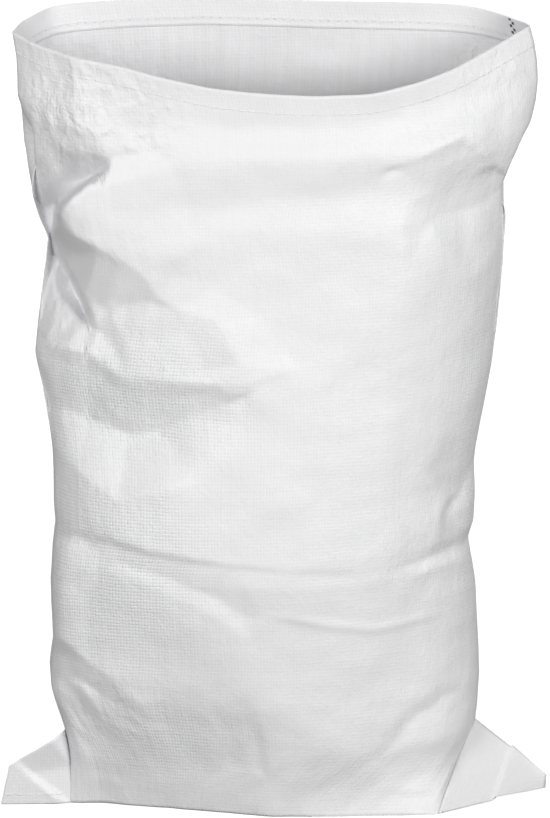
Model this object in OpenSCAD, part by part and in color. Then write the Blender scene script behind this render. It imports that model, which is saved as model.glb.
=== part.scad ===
// Open-mouth sack of woven polypropylene tape cloth, standing on its base.
// The origin is on the floor, on the line between the roots of the two ears.
// +X runs along the bottom seam, -Y is the front and +Z is up.

/* [Cloth] */
// Flat width of the sack, from side crease to side crease
flat_width = 550; // [450:10:650]
// Finished flat length of the sack, from bottom fold to mouth
flat_length = 950; // [800:10:1100]
// Thickness of one ply of the woven cloth
cloth_t = 0.5; // [0.3:0.1:0.9]
// Free gap between two plies that lie on each other
ply_gap = 0.1; // [0.05:0.05:0.3]

/* [Mouth] */
// Length of cloth that the folds of the standing sack take up
fold_take_up = 85; // [40:5:120]
// Depth of a middling dent in the standing sack's cloth
dent_depth = 12; // [4:1:16]
// How far the middle of the front rim hangs below the mouth corners
mouth_dip = 52; // [10:2:90]
// How far the middle of the back rim stands above the mouth corners
mouth_rise = 20; // [0:2:40]
// Width of the cloth turned in at the mouth
mouth_hem = 28; // [24:1:45]
// Distance of the mouth stitching from the rim
mouth_stitch_line = 20; // [14:1:22]

/* [Base] */
// Half the depth of the base on the floor
base_half_depth = 80; // [60:2:110]
// Width of the cloth turned over at the bottom seam
bottom_hem_width = 24; // [18:1:36]
// Distance of the bottom stitching from the bottom fold
bottom_stitch_line = 10; // [6:1:14]
// Distance of the bottom fold behind the line between the ears
seam_offset = 4; // [2:1:8]

/* [Ears] */
// Height at which each ear leaves the side crease
ear_height = 76; // [60:2:110]
// Height of the left ear's outer corner
left_tip_height = 40; // [30:2:56]
// Height of the right ear's outer corner
right_tip_height = 28; // [28:2:56]
// How far the ear's outer corner lies inside the seam's end
ear_tip_rake = 8; // [2:1:20]
// Running gap between an ear and the side crease that it swings on
ear_gap = 0.9; // [0.8:0.02:0.96]
// Length of the seam's root that the ear's hem and threads keep clear of
seam_root = 4; // [3:0.5:8]

/* [Thread] */
// Diameter of the sewing thread
thread_d = 0.8; // [0.5:0.1:1.2]
// Length of one stitch with the cloth to the next one
stitch_pitch = 9; // [7:0.5:12]
// Cloth between the needle holes of two neighbouring stitches
stitch_gap = 1.6; // [1:0.2:2.4]
// Width of the looper thread's flat chain
chain_width = 2; // [1.6:0.2:3]
// Free gap between a thread and the cloth that it lies on
thread_gap = 0.3; // [0.25:0.05:0.4]

/* [Marker tapes] */
// Width of one woven tape
tape_width = 3.4; // [2:0.1:4]
// Distance of the first coloured tape from the right side crease
marker_from_crease = 36; // [20:2:120]
// How far a coloured tape stands out of the cloth
tape_proud = 0.2; // [0.1:0.05:0.4]

/* [Hidden] */

FRONT = -1;
BACK = 1;
LEFT = -1;
RIGHT = 1;

CLOTH_WHITE = [0.93, 0.93, 0.94];
INNER_WHITE = [0.84, 0.85, 0.87];
THREAD_WHITE = [0.97, 0.97, 0.96];
MARKER_PLUM = [0.42, 0.33, 0.36];

half_width = flat_width / 2;
corner_z = flat_length - base_half_depth - fold_take_up;
ear_share = ear_height / corner_z;
hem_t = 2 * cloth_t + ply_gap;

// How the standing sack is spread at each share of its height: how far the
// left and right crease reach and how far the front and back stand out, as
// shares of the flat width, then how sharply front and back run into the
// creases, and how much the front stands out further to the right.
SHARE = 0;
REACH_LEFT = 1;
REACH_RIGHT = 2;
DEPTH_FRONT = 3;
DEPTH_BACK = 4;
SHARP_FRONT = 5;
SHARP_BACK = 6;
SKEW_FRONT = 7;
floor_depth = base_half_depth / flat_width;
SPREAD = [
    [0.00, 0.373, 0.350, floor_depth, floor_depth, 1.35, 0.90, 0.62],
    [0.06, 0.382, 0.362, floor_depth + 0.028, floor_depth + 0.032, 1.10, 0.95, 0.12],
    [0.16, 0.405, 0.371, 0.198, 0.200, 1.22, 1.00, 0.00],
    [0.33, 0.398, 0.355, 0.206, 0.206, 1.35, 1.00, 0.00],
    [0.45, 0.402, 0.363, 0.195, 0.194, 1.35, 1.00, 0.00],
    [0.57, 0.431, 0.391, 0.180, 0.174, 1.35, 1.00, 0.00],
    [0.72, 0.412, 0.414, 0.158, 0.154, 1.25, 0.92, 0.00],
    [0.80, 0.445, 0.425, 0.150, 0.144, 1.25, 0.85, 0.00],
    [0.90, 0.461, 0.464, 0.141, 0.140, 1.33, 0.72, 0.00],
    [1.00, 0.473, 0.464, 0.136, 0.136, 1.40, 0.58, 0.00]];

// The large dents and swells of the drape: side, place across the panel as a share of its
// width from the left, share of the height, then half width and half height as
// shares of the flat width, and depth as a multiple of a middling dent's, which
// is negative for a swell.
DENTS = [
    [FRONT, 0.09, 0.84, 0.05, 0.06, 3.6],
    [FRONT, 0.08, 0.67, 0.06, 0.08, 5.0],
    [FRONT, 0.22, 0.59, 0.14, 0.06, -1.2],
    [FRONT, 0.19, 0.515, 0.13, 0.05, 3.2],
    [FRONT, 0.36, 0.48, 0.08, 0.04, -0.6],
    [FRONT, 0.86, 0.76, 0.08, 0.11, 0.5],
    [FRONT, 0.90, 0.39, 0.06, 0.10, 1.4],
    [FRONT, 0.35, 0.26, 0.12, 0.08, 0.4],
    [FRONT, 0.86, 0.15, 0.12, 0.12, 0.8],
    [BACK, 0.78, 0.62, 0.11, 0.09, 0.8],
    [BACK, 0.22, 0.45, 0.13, 0.08, 0.8]];

// Columns of the panels: two stitches lie on each one. The back panel has
// further ones at the edges of the coloured tapes.
COLS = round(flat_width / (2 * stitch_pitch));
FRONT_COLUMNS = [for (j = [0:COLS]) j / COLS];
tape_step = tape_width + ply_gap;
tape_inner_edge = 1 - (marker_from_crease + tape_step + tape_width) / flat_width;
tape_outer_edge = 1 - marker_from_crease / flat_width;
BELOW_TAPES = [for (u = FRONT_COLUMNS) if (u < tape_inner_edge) u];
BACK_COLUMNS = concat(
    BELOW_TAPES,
    [tape_inner_edge, tape_inner_edge + tape_width / flat_width,
     tape_outer_edge - tape_width / flat_width, tape_outer_edge],
    [for (u = FRONT_COLUMNS) if (u > tape_outer_edge) u]);
INNER_TAPE_COLUMN = len(BELOW_TAPES);
OUTER_TAPE_COLUMN = INNER_TAPE_COLUMN + 2;

// Rows of the panels, as shares of the height. A panel ends at the edge row,
// and the cloth turned in runs from the hem row over the top row.
PLAIN_ROWS = 17;
hem_share = 1 - mouth_hem / corner_z;
ROWS = concat(
    [0, ear_share / 3, ear_share * 2 / 3],
    [for (i = [0:PLAIN_ROWS]) mix(ear_share, hem_share, i / PLAIN_ROWS)],
    [1 - (cloth_t + ply_gap) / corner_z, 1 - cloth_t / corner_z, 1]);
TOP_ROW = len(ROWS) - 1;
FOLD_ROW = TOP_ROW - 1;
EDGE_ROW = TOP_ROW - 2;
HEM_ROW = TOP_ROW - 3;
ARC_STEPS = 36;

function mix(a, b, k) = a + (b - a) * k;

// Slope of one column of SPREAD at a row, for a smooth curve through the rows.
function slope(i, c) =
    let (lo = max(0, i - 1), hi = min(len(SPREAD) - 1, i + 1))
    (SPREAD[hi][c] - SPREAD[lo][c]) / (SPREAD[hi][SHARE] - SPREAD[lo][SHARE]);

function curve_between(i, c, s) =
    let (
        gap = SPREAD[i + 1][SHARE] - SPREAD[i][SHARE],
        k = (s - SPREAD[i][SHARE]) / gap,
        k2 = k * k,
        k3 = k2 * k)
    (2 * k3 - 3 * k2 + 1) * SPREAD[i][c] + (k3 - 2 * k2 + k) * gap * slope(i, c)
    + (3 * k2 - 2 * k3) * SPREAD[i + 1][c] + (k3 - k2) * gap * slope(i + 1, c);

// The value of one column of SPREAD at any share of the height.
function spread(c, s) =
    let (below = [for (i = [0:len(SPREAD) - 2]) if (SPREAD[i][SHARE] <= s) i])
    curve_between(below[len(below) - 1], c, s);

// Reach of a side crease, which is straight from the floor to the ear's top.
function reach(side, s) =
    let (c = side == LEFT ? REACH_LEFT : REACH_RIGHT)
    flat_width * (s < ear_share
        ? mix(spread(c, 0), spread(c, ear_share), s / ear_share)
        : spread(c, s));

// A point of the level section at a share of the height, inside the smooth
// outline by a dent. Its angle runs from the left crease (0) to the right (180).
function section(side, angle, s, dent) =
    let (
        left = reach(LEFT, s),
        right = reach(RIGHT, s),
        skew = side == FRONT ? spread(SKEW_FRONT, s) * cos(angle) : 0,
        depth = flat_width * spread(side == FRONT ? DEPTH_FRONT : DEPTH_BACK, s) * (1 - skew),
        sharp = spread(side == FRONT ? SHARP_FRONT : SHARP_BACK, s))
    [(right - left) / 2 - (left + right) / 2 * cos(angle),
     side * (depth - dent) * pow(max(0, sin(angle)), sharp)];

// Running share of the cloth's width round a section, paired with the angle.
function arc_table(side, s) =
    let (
        p = [for (k = [0:ARC_STEPS]) section(side, 180 * k / ARC_STEPS, s, 0)],
        run = [for (k = 0, sum = 0; k <= ARC_STEPS;
                    sum = sum + (k < ARC_STEPS ? norm(p[k + 1] - p[k]) : 0), k = k + 1) sum])
    [for (k = [0:ARC_STEPS]) [run[k] / run[ARC_STEPS], 180 * k / ARC_STEPS]];

// How deep the dents lie at a place of a panel, with none at the creases.
function dent(side, u, s) =
    let (
        up = s * corner_z / flat_width,
        deep = [for (d = DENTS) d[0] != side ? 0 :
            dent_depth * d[5] * exp(-pow((u - d[1]) / d[3], 2)
                - pow((up - d[2] * corner_z / flat_width) / d[4], 2))])
    min(1, 4 * sin(180 * u)) * (deep * [for (d = deep) 1]);

// The outline of a panel's outer face at each row, at the panel's columns.
function outlines(side, columns) =
    [for (s = ROWS)
        let (table = arc_table(side, s))
        [for (u = columns) section(side, lookup(u, table), s, dent(side, u, s))]];

// Outward step at a corner of an outline that moves both its edges out by 1. At
// the creases the step stays on the line where the two panels meet.
function edge_normal(side, p, k) =
    let (run = p[k + 1] - p[k])
    -side * [run[1], -run[0]] / norm(run);
function mitre(side, p, k) =
    let (
        last = len(p) - 1,
        before = edge_normal(side, p, max(0, k - 1)),
        after = edge_normal(side, p, min(last - 1, k)))
    k == 0 || k == last ? [1 / before[0], 0] : (before + after) / (1 + before * after);
function mitres(side, lines) =
    [for (p = lines) [for (k = [0:len(p) - 1]) mitre(side, p, k)]];

FRONT_OUTLINES = outlines(FRONT, FRONT_COLUMNS);
BACK_OUTLINES = outlines(BACK, BACK_COLUMNS);
FRONT_MITRES = mitres(FRONT, FRONT_OUTLINES);
BACK_MITRES = mitres(BACK, BACK_OUTLINES);

function columns_of(side) = side == FRONT ? FRONT_COLUMNS : BACK_COLUMNS;

function rim_z(side, u) =
    corner_z + (side == FRONT ? -mouth_dip : mouth_rise) * pow(max(0, sin(180 * u)), 1.2);

// A point of a panel at row r and column k, outside its outer face by out.
function grid(side, r, k, out) =
    let (
        line = (side == FRONT ? FRONT_OUTLINES : BACK_OUTLINES)[r],
        step = (side == FRONT ? FRONT_MITRES : BACK_MITRES)[r],
        p = line[k] + out * step[k])
    [p[0], p[1], ROWS[r] * rim_z(side, columns_of(side)[k])];

// A point on the flat faces between the hem row and the edge row.
function hem_point(side, u, drop, out) =
    let (
        columns = columns_of(side),
        k = min(len(columns) - 2, len([for (c = columns) if (c <= u) c]) - 1),
        across = (u - columns[k]) / (columns[k + 1] - columns[k]),
        up = (mouth_hem - drop) / (mouth_hem - cloth_t - ply_gap),
        low_left = grid(side, HEM_ROW, k, out),
        low_right = grid(side, HEM_ROW, k + 1, out),
        top_left = grid(side, EDGE_ROW, k, out),
        top_right = grid(side, EDGE_ROW, k + 1, out))
    up > across
        ? low_left + across * (top_right - top_left) + up * (top_left - low_left)
        : low_left + across * (low_right - low_left) + up * (top_right - low_right);

// Faces of a swept band. Each loop of points goes along one edge of a strip and
// comes back along the other, and the first and last strip close the ends. The
// quads of a turned strip are split the other way, so that the two sides of a
// thin twisted band are split along the same line.
function quad(a, b, size, turned) = turned
    ? [[a, b, a + size], [b, b + size, a + size]]
    : [[a, b, b + size], [a, b + size, a + size]];

function band_faces(loops, size, flip, turned) =
    let (
        sides = [for (i = [0:loops - 2], k = [0:size - 1])
            each quad(i * size + k, i * size + (k + 1) % size, size,
                k >= turned[0] && k <= turned[1])],
        ends = [for (k = [0:size / 2 - 2])
            let (a = k, b = k + 1, c = size - 2 - k, d = size - 1 - k, far = (loops - 1) * size)
            each [[a, d, c], [a, c, b],
                  [far + a, far + b, far + c], [far + a, far + c, far + d]]],
        all = concat(sides, ends))
    flip ? [for (f = all) [f[2], f[1], f[0]]] : all;

module band(loops, flip = false, turned = [-1, -1]) {
    polyhedron(
        points = [for (loop = loops) each loop],
        faces = band_faces(len(loops), len(loops[0]), flip, turned),
        convexity = 8);
}

// One ply of a panel: each loop goes up the outside and down the inside.
module panel(side) {
    band([for (k = [0:len(columns_of(side)) - 1])
        concat([for (r = [0:EDGE_ROW]) grid(side, r, k, 0)],
               [for (r = [EDGE_ROW:-1:0]) grid(side, r, k, -cloth_t)])],
        flip = side == BACK,
        turned = [EDGE_ROW + 1, 2 * EDGE_ROW]);
}

module front_panel() {
    color(CLOTH_WHITE) panel(FRONT);
}

module back_panel() {
    color(CLOTH_WHITE) panel(BACK);
}

// The cloth turned in at the mouth: over the panel's edge and down its inside.
module mouth_fold(side) {
    near = -cloth_t - ply_gap;
    far = near - cloth_t;
    band([for (k = [0:len(columns_of(side)) - 1]) [
        grid(side, FOLD_ROW, k, 0),
        grid(side, FOLD_ROW, k, near),
        grid(side, HEM_ROW, k, near),
        grid(side, HEM_ROW, k, far),
        grid(side, TOP_ROW, k, far),
        grid(side, TOP_ROW, k, 0)]],
        flip = side == FRONT,
        turned = [1, 1]);
}

module mouth_hem_front() {
    color(INNER_WHITE) mouth_fold(FRONT);
}

module mouth_hem_back() {
    color(INNER_WHITE) mouth_fold(BACK);
}

// A straight length of sewing thread.
module stitch(a, b) {
    run = b - a;
    translate(a)
        rotate([0, acos(run[2] / norm(run)), atan2(run[1], run[0])])
            cylinder(h = norm(run), d = thread_d, $fn = 24);
}

// The needle thread shows as one straight stitch after another on the outside.
module mouth_needle_thread() {
    out = thread_gap + thread_d / 2;
    hole = stitch_gap / stitch_pitch / 2;
    color(THREAD_WHITE)
        for (side = [FRONT, BACK], n = [0:2 * COLS - 1])
            stitch(hem_point(side, (n + hole) / (2 * COLS), mouth_stitch_line, out),
                   hem_point(side, (n + 1 - hole) / (2 * COLS), mouth_stitch_line, out));
}

// The looper thread lies on the inside as a flat chain, round the whole mouth.
module mouth_looper_thread() {
    near = -2 * cloth_t - ply_gap - thread_gap;
    far = near - thread_d;
    high = mouth_stitch_line - chain_width / 2;
    low = mouth_stitch_line + chain_width / 2;
    color(THREAD_WHITE)
        for (side = [FRONT, BACK])
            band([for (u = columns_of(side)) [
                hem_point(side, u, high, near),
                hem_point(side, u, low, near),
                hem_point(side, u, low, far),
                hem_point(side, u, high, far)]],
                flip = side == FRONT);
}

// The two coloured warp tapes run up the back beside each other, to the hem.
module marker_tape(k) {
    near = ply_gap;
    far = ply_gap + tape_proud;
    color(MARKER_PLUM)
        band([for (r = [0:HEM_ROW]) [
            grid(BACK, r, k, near),
            grid(BACK, r, k + 1, near),
            grid(BACK, r, k + 1, far),
            grid(BACK, r, k, far)]],
            flip = true);
}

module marker_tape_outer() {
    marker_tape(OUTER_TAPE_COLUMN);
}

module marker_tape_inner() {
    marker_tape(INNER_TAPE_COLUMN);
}

// The base lies on the floor inside the panels' lower edges. Its two plies meet
// at the bottom seam, whose hem is turned under the back ply.
hem_lift = thread_d + thread_gap;
over_hem = hem_lift + hem_t + ply_gap;
hem_end = seam_offset + bottom_hem_width + ply_gap;

// The outline of the floor inside the panels, between two depths.
module floor_between(near, far) {
    inset = cloth_t + ply_gap;
    intersection() {
        polygon(concat(
            [for (k = [0:len(FRONT_COLUMNS) - 1])
                FRONT_OUTLINES[0][k] - inset * FRONT_MITRES[0][k]],
            [for (k = [len(BACK_COLUMNS) - 2:-1:1])
                BACK_OUTLINES[0][k] - inset * BACK_MITRES[0][k]]));
        translate([-half_width, near]) square([flat_width, far - near]);
    }
}

module base_front() {
    color(CLOTH_WHITE)
        linear_extrude(cloth_t)
            floor_between(-half_width, seam_offset - ply_gap);
}

// The back ply steps up over the folded hem and lies on the floor behind it.
module base_back() {
    color(CLOTH_WHITE) {
        translate([0, 0, over_hem])
            linear_extrude(cloth_t)
                floor_between(seam_offset, hem_end + cloth_t);
        linear_extrude(over_hem + cloth_t)
            floor_between(hem_end, hem_end + cloth_t);
        linear_extrude(cloth_t)
            floor_between(hem_end, half_width);
    }
}

// Section of a folded hem: two plies that share the fold at the origin.
module hem_profile(width) {
    difference() {
        square([width, hem_t]);
        translate([cloth_t, cloth_t]) square([width, ply_gap]);
    }
}

// Where the sewn part of the base starts and ends, inside the creases.
base_left = -reach(LEFT, 0) + seam_root;
base_right = reach(RIGHT, 0) - seam_root;

// The hem's ends are cut to the curve of the panels, which close in on it there.
module bottom_hem() {
    color(CLOTH_WHITE)
        intersection() {
            translate([base_left, seam_offset, hem_lift])
                rotate([90, 0, 90])
                    linear_extrude(base_right - base_left)
                        hem_profile(bottom_hem_width);
            translate([0, 0, hem_lift])
                linear_extrude(hem_t)
                    floor_between(seam_offset, hem_end);
        }
}

// A row of equal stitches on a straight seam, from one x to another.
module straight_stitches(from, to, y, z) {
    count = floor((to - from) / stitch_pitch);
    start = (from + to - count * stitch_pitch) / 2;
    for (n = [0:count - 1])
        stitch([start + n * stitch_pitch + stitch_gap / 2, y, z],
               [start + (n + 1) * stitch_pitch - stitch_gap / 2, y, z]);
}

seam_y = seam_offset + bottom_stitch_line;
sewn_margin = 3 * seam_root;

module bottom_needle_thread() {
    color(THREAD_WHITE)
        straight_stitches(base_left + sewn_margin, base_right - sewn_margin,
            seam_y, over_hem + cloth_t + thread_gap + thread_d / 2);
}

// The chain of the looper thread lies between the hem and the floor.
module bottom_looper_thread() {
    color(THREAD_WHITE)
        translate([base_left + sewn_margin, seam_y - chain_width / 2, 0])
            cube([base_right - base_left - 2 * sewn_margin, chain_width, thread_d]);
}

// An ear is the corner of the flat sack that the base leaves free: two plies
// with the hem turned over at the back, in the upright plane of the seam. It
// swings on the line of its root, which leans out with the crease beside it.
module ear_outline(side, tip_height) {
    polygon([
        [side * (reach(side, 0) + ear_gap), 0],
        [side * half_width, 0],
        [side * (half_width - ear_tip_rake), tip_height],
        [side * (reach(side, ear_share) + ear_gap), ear_height]]);
}

// An upright plate between two depths, from an outline in x and z.
module upright(near, far) {
    translate([0, far, 0])
        rotate([90, 0, 0])
            linear_extrude(far - near)
                children();
}

half_gap = ply_gap / 2;

module ear_front_ply(side, tip_height) {
    color(CLOTH_WHITE)
        upright(-half_gap - cloth_t, -half_gap) ear_outline(side, tip_height);
}

module ear_back_ply(side, tip_height) {
    color(CLOTH_WHITE)
        upright(half_gap, half_gap + cloth_t) ear_outline(side, tip_height);
}

// Distance of the sewn part of an ear from the middle, at its root and its end.
function sewn_from(side) = reach(side, 0) + ear_gap + seam_root;
sewn_to = half_width - ear_tip_rake;
ear_hem_front = half_gap + cloth_t + ply_gap;

module ear_hem(side) {
    length = sewn_to - sewn_from(side);
    start = side == LEFT ? -sewn_to : sewn_from(side);
    color(CLOTH_WHITE)
        translate([start, ear_hem_front, 0])
            rotate([90, 0, 90])
                linear_extrude(length)
                    mirror([1, -1])
                        hem_profile(bottom_hem_width);
}

module ear_needle_thread(side) {
    ends = [side * (sewn_from(side) + seam_root), side * (sewn_to - seam_root / 2)];
    color(THREAD_WHITE)
        straight_stitches(min(ends), max(ends),
            -half_gap - cloth_t - thread_gap - thread_d / 2, bottom_stitch_line);
}

module ear_looper_thread(side) {
    ends = [side * (sewn_from(side) + seam_root), side * (sewn_to - seam_root / 2)];
    color(THREAD_WHITE)
        translate([min(ends), ear_hem_front + hem_t + thread_gap,
                   bottom_stitch_line - chain_width / 2])
            cube([max(ends) - min(ends), thread_d, chain_width]);
}

module left_ear_front_ply() {
    ear_front_ply(LEFT, left_tip_height);
}

module left_ear_back_ply() {
    ear_back_ply(LEFT, left_tip_height);
}

module left_ear_hem() {
    ear_hem(LEFT);
}

module left_ear_needle_thread() {
    ear_needle_thread(LEFT);
}

module left_ear_looper_thread() {
    ear_looper_thread(LEFT);
}

module right_ear_front_ply() {
    ear_front_ply(RIGHT, right_tip_height);
}

module right_ear_back_ply() {
    ear_back_ply(RIGHT, right_tip_height);
}

module right_ear_hem() {
    ear_hem(RIGHT);
}

module right_ear_needle_thread() {
    ear_needle_thread(RIGHT);
}

module right_ear_looper_thread() {
    ear_looper_thread(RIGHT);
}

front_panel();
back_panel();
mouth_hem_front();
mouth_hem_back();
mouth_needle_thread();
mouth_looper_thread();
base_front();
base_back();
bottom_hem();
bottom_needle_thread();
bottom_looper_thread();
marker_tape_outer();
marker_tape_inner();
left_ear_front_ply();
left_ear_back_ply();
left_ear_hem();
left_ear_needle_thread();
left_ear_looper_thread();
right_ear_front_ply();
right_ear_back_ply();
right_ear_hem();
right_ear_needle_thread();
right_ear_looper_thread();
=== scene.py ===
# %% [markdown]
# # A woven polypropylene sack
# The sack stands open and empty on a pale floor. The frame gives its construction: two
# panels, a hem at the mouth, a sewn base, two ears, threads and coloured tapes. Here each
# of them gets its real drape, weave, hems and stitches.

# %% The frame
import math
import bpy
import numpy as np
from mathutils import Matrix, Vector, noise
from mathutils.geometry import delaunay_2d_cdt


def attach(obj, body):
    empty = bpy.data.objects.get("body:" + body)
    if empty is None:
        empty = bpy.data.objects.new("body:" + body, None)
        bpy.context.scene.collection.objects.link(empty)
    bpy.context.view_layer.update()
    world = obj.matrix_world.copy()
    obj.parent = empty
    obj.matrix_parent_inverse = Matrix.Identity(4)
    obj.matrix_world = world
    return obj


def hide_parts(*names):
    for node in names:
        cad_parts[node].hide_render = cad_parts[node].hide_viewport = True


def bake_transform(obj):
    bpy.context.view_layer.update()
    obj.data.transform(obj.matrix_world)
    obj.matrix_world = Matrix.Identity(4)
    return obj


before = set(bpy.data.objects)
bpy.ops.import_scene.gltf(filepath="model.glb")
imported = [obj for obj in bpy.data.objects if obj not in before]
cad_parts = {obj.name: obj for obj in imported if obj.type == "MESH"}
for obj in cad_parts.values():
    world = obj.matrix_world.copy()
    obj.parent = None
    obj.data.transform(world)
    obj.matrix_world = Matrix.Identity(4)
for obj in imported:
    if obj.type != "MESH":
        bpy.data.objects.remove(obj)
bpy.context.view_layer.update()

MM = 0.001

# %% [markdown]
# The camera stands a little to the left and looks slightly down from far away, through a
# long lens. So one millimetre looks nearly the same all over the sack, and places on it
# can be named by how far across and how far up they appear.

# %% The camera
VIEW_TURN = math.radians(-6)
VIEW_TILT = math.radians(14)
VIEW_DISTANCE = 20.0
VIEW_CLIP = 100
PICTURE_HEIGHT = 0.818
PICTURE_CENTRE_UP = 0.388
SENSOR = 36
view_from = Vector((math.sin(VIEW_TURN) * math.cos(VIEW_TILT),
                    -math.cos(VIEW_TURN) * math.cos(VIEW_TILT),
                    math.sin(VIEW_TILT)))
view_right = Vector((math.cos(VIEW_TURN), math.sin(VIEW_TURN), 0))
view_up = view_from.cross(view_right)

bpy.ops.object.camera_add()
camera = bpy.context.object
camera.data.sensor_width = SENSOR
camera.data.lens = SENSOR * VIEW_DISTANCE / PICTURE_HEIGHT
camera.data.clip_end = VIEW_CLIP
camera.location = view_from * VIEW_DISTANCE + view_up * PICTURE_CENTRE_UP
camera.rotation_euler = view_from.to_track_quat("Z", "Y").to_euler()
bpy.context.scene.camera = camera
print("lens of", round(camera.data.lens), "mm at", VIEW_DISTANCE, "m")


def seen(across, up, forward):
    """The place that appears across and up from the origin and stands forward (mm)."""
    y = -forward
    x = (across - view_right.y * y) / view_right.x
    z = (up - view_up.x * x - view_up.y * y) / view_up.z
    return np.array([x, y, z]) * MM


def in_view(grid):
    """How far across and up the points of a grid appear, in millimetres."""
    return grid @ np.array(view_right) / MM, grid @ np.array(view_up) / MM


# %% [markdown]
# The cloth is a tube. It is laid out on a grid: u runs across a panel from the left crease
# to the right one, and v runs up it from the edge of the base to the rim. The outline of
# each side, the rim and the edge of the base are set first.

# %% Outlines of the standing sack
# Each side crease as it appears: across and up.
LEFT_SIDE = [
    (-260, 761), (-256, 737), (-255, 717), (-255, 699), (-252, 685), (-250, 667), (-249, 647),
    (-246, 627), (-240, 599), (-233, 577), (-225, 559), (-226, 547), (-228, 527), (-231, 507),
    (-234, 482), (-237, 457), (-238, 445), (-236, 433), (-232, 417), (-228, 397), (-224, 372),
    (-221, 349), (-220, 327), (-220, 297), (-218, 275), (-221, 252), (-223, 217), (-222, 187),
    (-221, 157), (-224, 132), (-223, 112), (-219, 95), (-212, 69), (-205, 37), (-204, 0),
]
RIGHT_SIDE = [
    (253, 768), (257, 753), (260, 735), (261, 715), (259, 695), (255, 675), (248, 655), (240, 637),
    (233, 619), (231, 597), (230, 582), (228, 562), (227, 542), (224, 512), (221, 482), (219, 462),
    (216, 437), (212, 415), (208, 395), (204, 377), (200, 357), (198, 337), (199, 307), (198, 282),
    (193, 266), (195, 249), (199, 222), (201, 192), (203, 157), (204, 127), (202, 97), (200, 77),
    (197, 47), (195, 0),
]
# The rim as it appears: across, up and forward.
FRONT_RIM = [
    (-260, 761, 0), (-240, 749, 17), (-200, 735, 43), (-155, 726, 58), (-110, 714, 67),
    (-65, 704, 71), (-30, 700, 74), (35, 696, 75), (95, 698, 72), (145, 711, 58), (180, 725, 42),
    (210, 742, 26), (235, 757, 12), (253, 768, 0),
]
BACK_RIM = [
    (-260, 761, 0), (-250, 772, -30), (-225, 786, -58), (-200, 790, -66), (-150, 794, -72),
    (-75, 796.5, -75), (0, 795, -75), (50, 793, -75), (125, 792, -74), (175, 790, -70),
    (200, 787, -64), (225, 780, -48), (250, 771, -20), (253, 768, 0),
]
# The edge of the base: x, y and z on the floor.
FRONT_FOOT = [
    (-205, 0, 0), (-176, -4, 0), (-128, -24, 0), (-80, -45, 0), (-31, -66, 0), (-8, -76, 0),
    (42, -80, 0), (92, -81, 0), (131, -82, 0), (155, -82, 0),
]
BACK_FOOT = [
    (-205, 0, 0), (-190, 30, 0), (-150, 62, 0), (-80, 78, 0), (0, 80, 0), (80, 79, 0), (140, 66, 0),
    (175, 38, 0), (193, 0, 0),
]

# Depth of the front and back at shares of the height, and how round they are.
SHARES = np.array([0.00, 0.06, 0.16, 0.33, 0.45, 0.57, 0.72, 0.80, 0.90, 1.00])
FRONT_DEPTH = np.array([83, 90, 101, 112, 107, 98, 87, 82, 78, 75])
BACK_DEPTH = np.array([82, 98, 110, 113, 107, 96, 85, 79, 77, 75])
FRONT_ROUND = np.array([0.95, 0.95, 1.0, 1.05, 1.1, 1.15, 1.2, 1.2, 1.25, 1.3])
BACK_ROUND = np.array([0.9, 0.92, 0.95, 0.95, 0.95, 0.95, 0.9, 0.85, 0.72, 0.6])
# Each panel's tables. The front's side is -1 and the back's is 1, as in y.
WALLS = {-1: (FRONT_RIM, FRONT_FOOT, FRONT_DEPTH, FRONT_ROUND),
         1: (BACK_RIM, BACK_FOOT, BACK_DEPTH, BACK_ROUND)}

# %% The grid of the cloth
# Width of the flat sack, height of the ears' roots and thickness of a ply, in millimetres.
FLAT_WIDTH = 550
EAR_TOP = 76
PLY = 0.5
COLUMNS = 176
ROWS = 270
# The columns lie closer together at the left, where the folds are sharpest.
column_middles = (np.arange(COLUMNS) + 0.5) / COLUMNS
column_density = np.interp(column_middles, [0, 0.4, 0.6, 1], [1.3, 1.3, 0.75, 0.85])
COLUMN_SHARES = np.concatenate([[0], np.cumsum(1 / column_density)])
COLUMN_SHARES /= COLUMN_SHARES[-1]
COLUMN_PLACES = COLUMN_SHARES * FLAT_WIDTH
print("columns are", np.diff(COLUMN_PLACES).min().round(2), "to",
      np.diff(COLUMN_PLACES).max().round(2), "mm wide")


# %% Helpers for lines and grids of points
def smooth(low, high, value):
    """A soft step, from 0 at low to 1 at high."""
    k = np.clip((value - low) / (high - low), 0, 1)
    return k * k * (3 - 2 * k)


def run_of(line):
    """How far along a line each of its points lies."""
    steps = np.linalg.norm(np.diff(line, axis=0), axis=1)
    return np.concatenate([[0], np.cumsum(steps)])


def line_at(line, places, at):
    """Points of a line where its places, which rise from point to point, reach a value."""
    return np.stack([np.interp(at, places, line[:, axis]) for axis in range(3)], -1)


def along(points, shares):
    """Points at shares of the length along a line."""
    points = np.asarray(points, float)
    run = run_of(points)
    return line_at(points, run, shares * run[-1])


def blur(grid, passes):
    """Average a grid with its neighbours, and keep its edges in place."""
    for _ in range(passes):
        inner = grid.copy()
        inner[1:-1] = (grid[:-2] + 2 * grid[1:-1] + grid[2:]) / 4
        grid = inner.copy()
        grid[:, 1:-1] = (inner[:, :-2] + 2 * inner[:, 1:-1] + inner[:, 2:]) / 4
    return grid


def unit(vectors):
    """Vectors of length 1 with the same directions."""
    return vectors / np.maximum(np.linalg.norm(vectors, axis=-1, keepdims=True), 1e-12)


def side_reach(outline, share):
    """Reach of a side crease at a share of its height, from its outline in the view."""
    places = np.array([seen(across, up, 0) for across, up in outline[::-1]])
    return np.interp(share * places[-1, 2], places[:, 2], places[:, 0])


# %% [markdown]
# A panel starts as a smooth wall. At every height its plan is half a ring between the two
# creases, rounder or flatter by a power of the sine. Near the floor the wall goes over
# into the edge of the base, and near the mouth into the rim.

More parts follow.
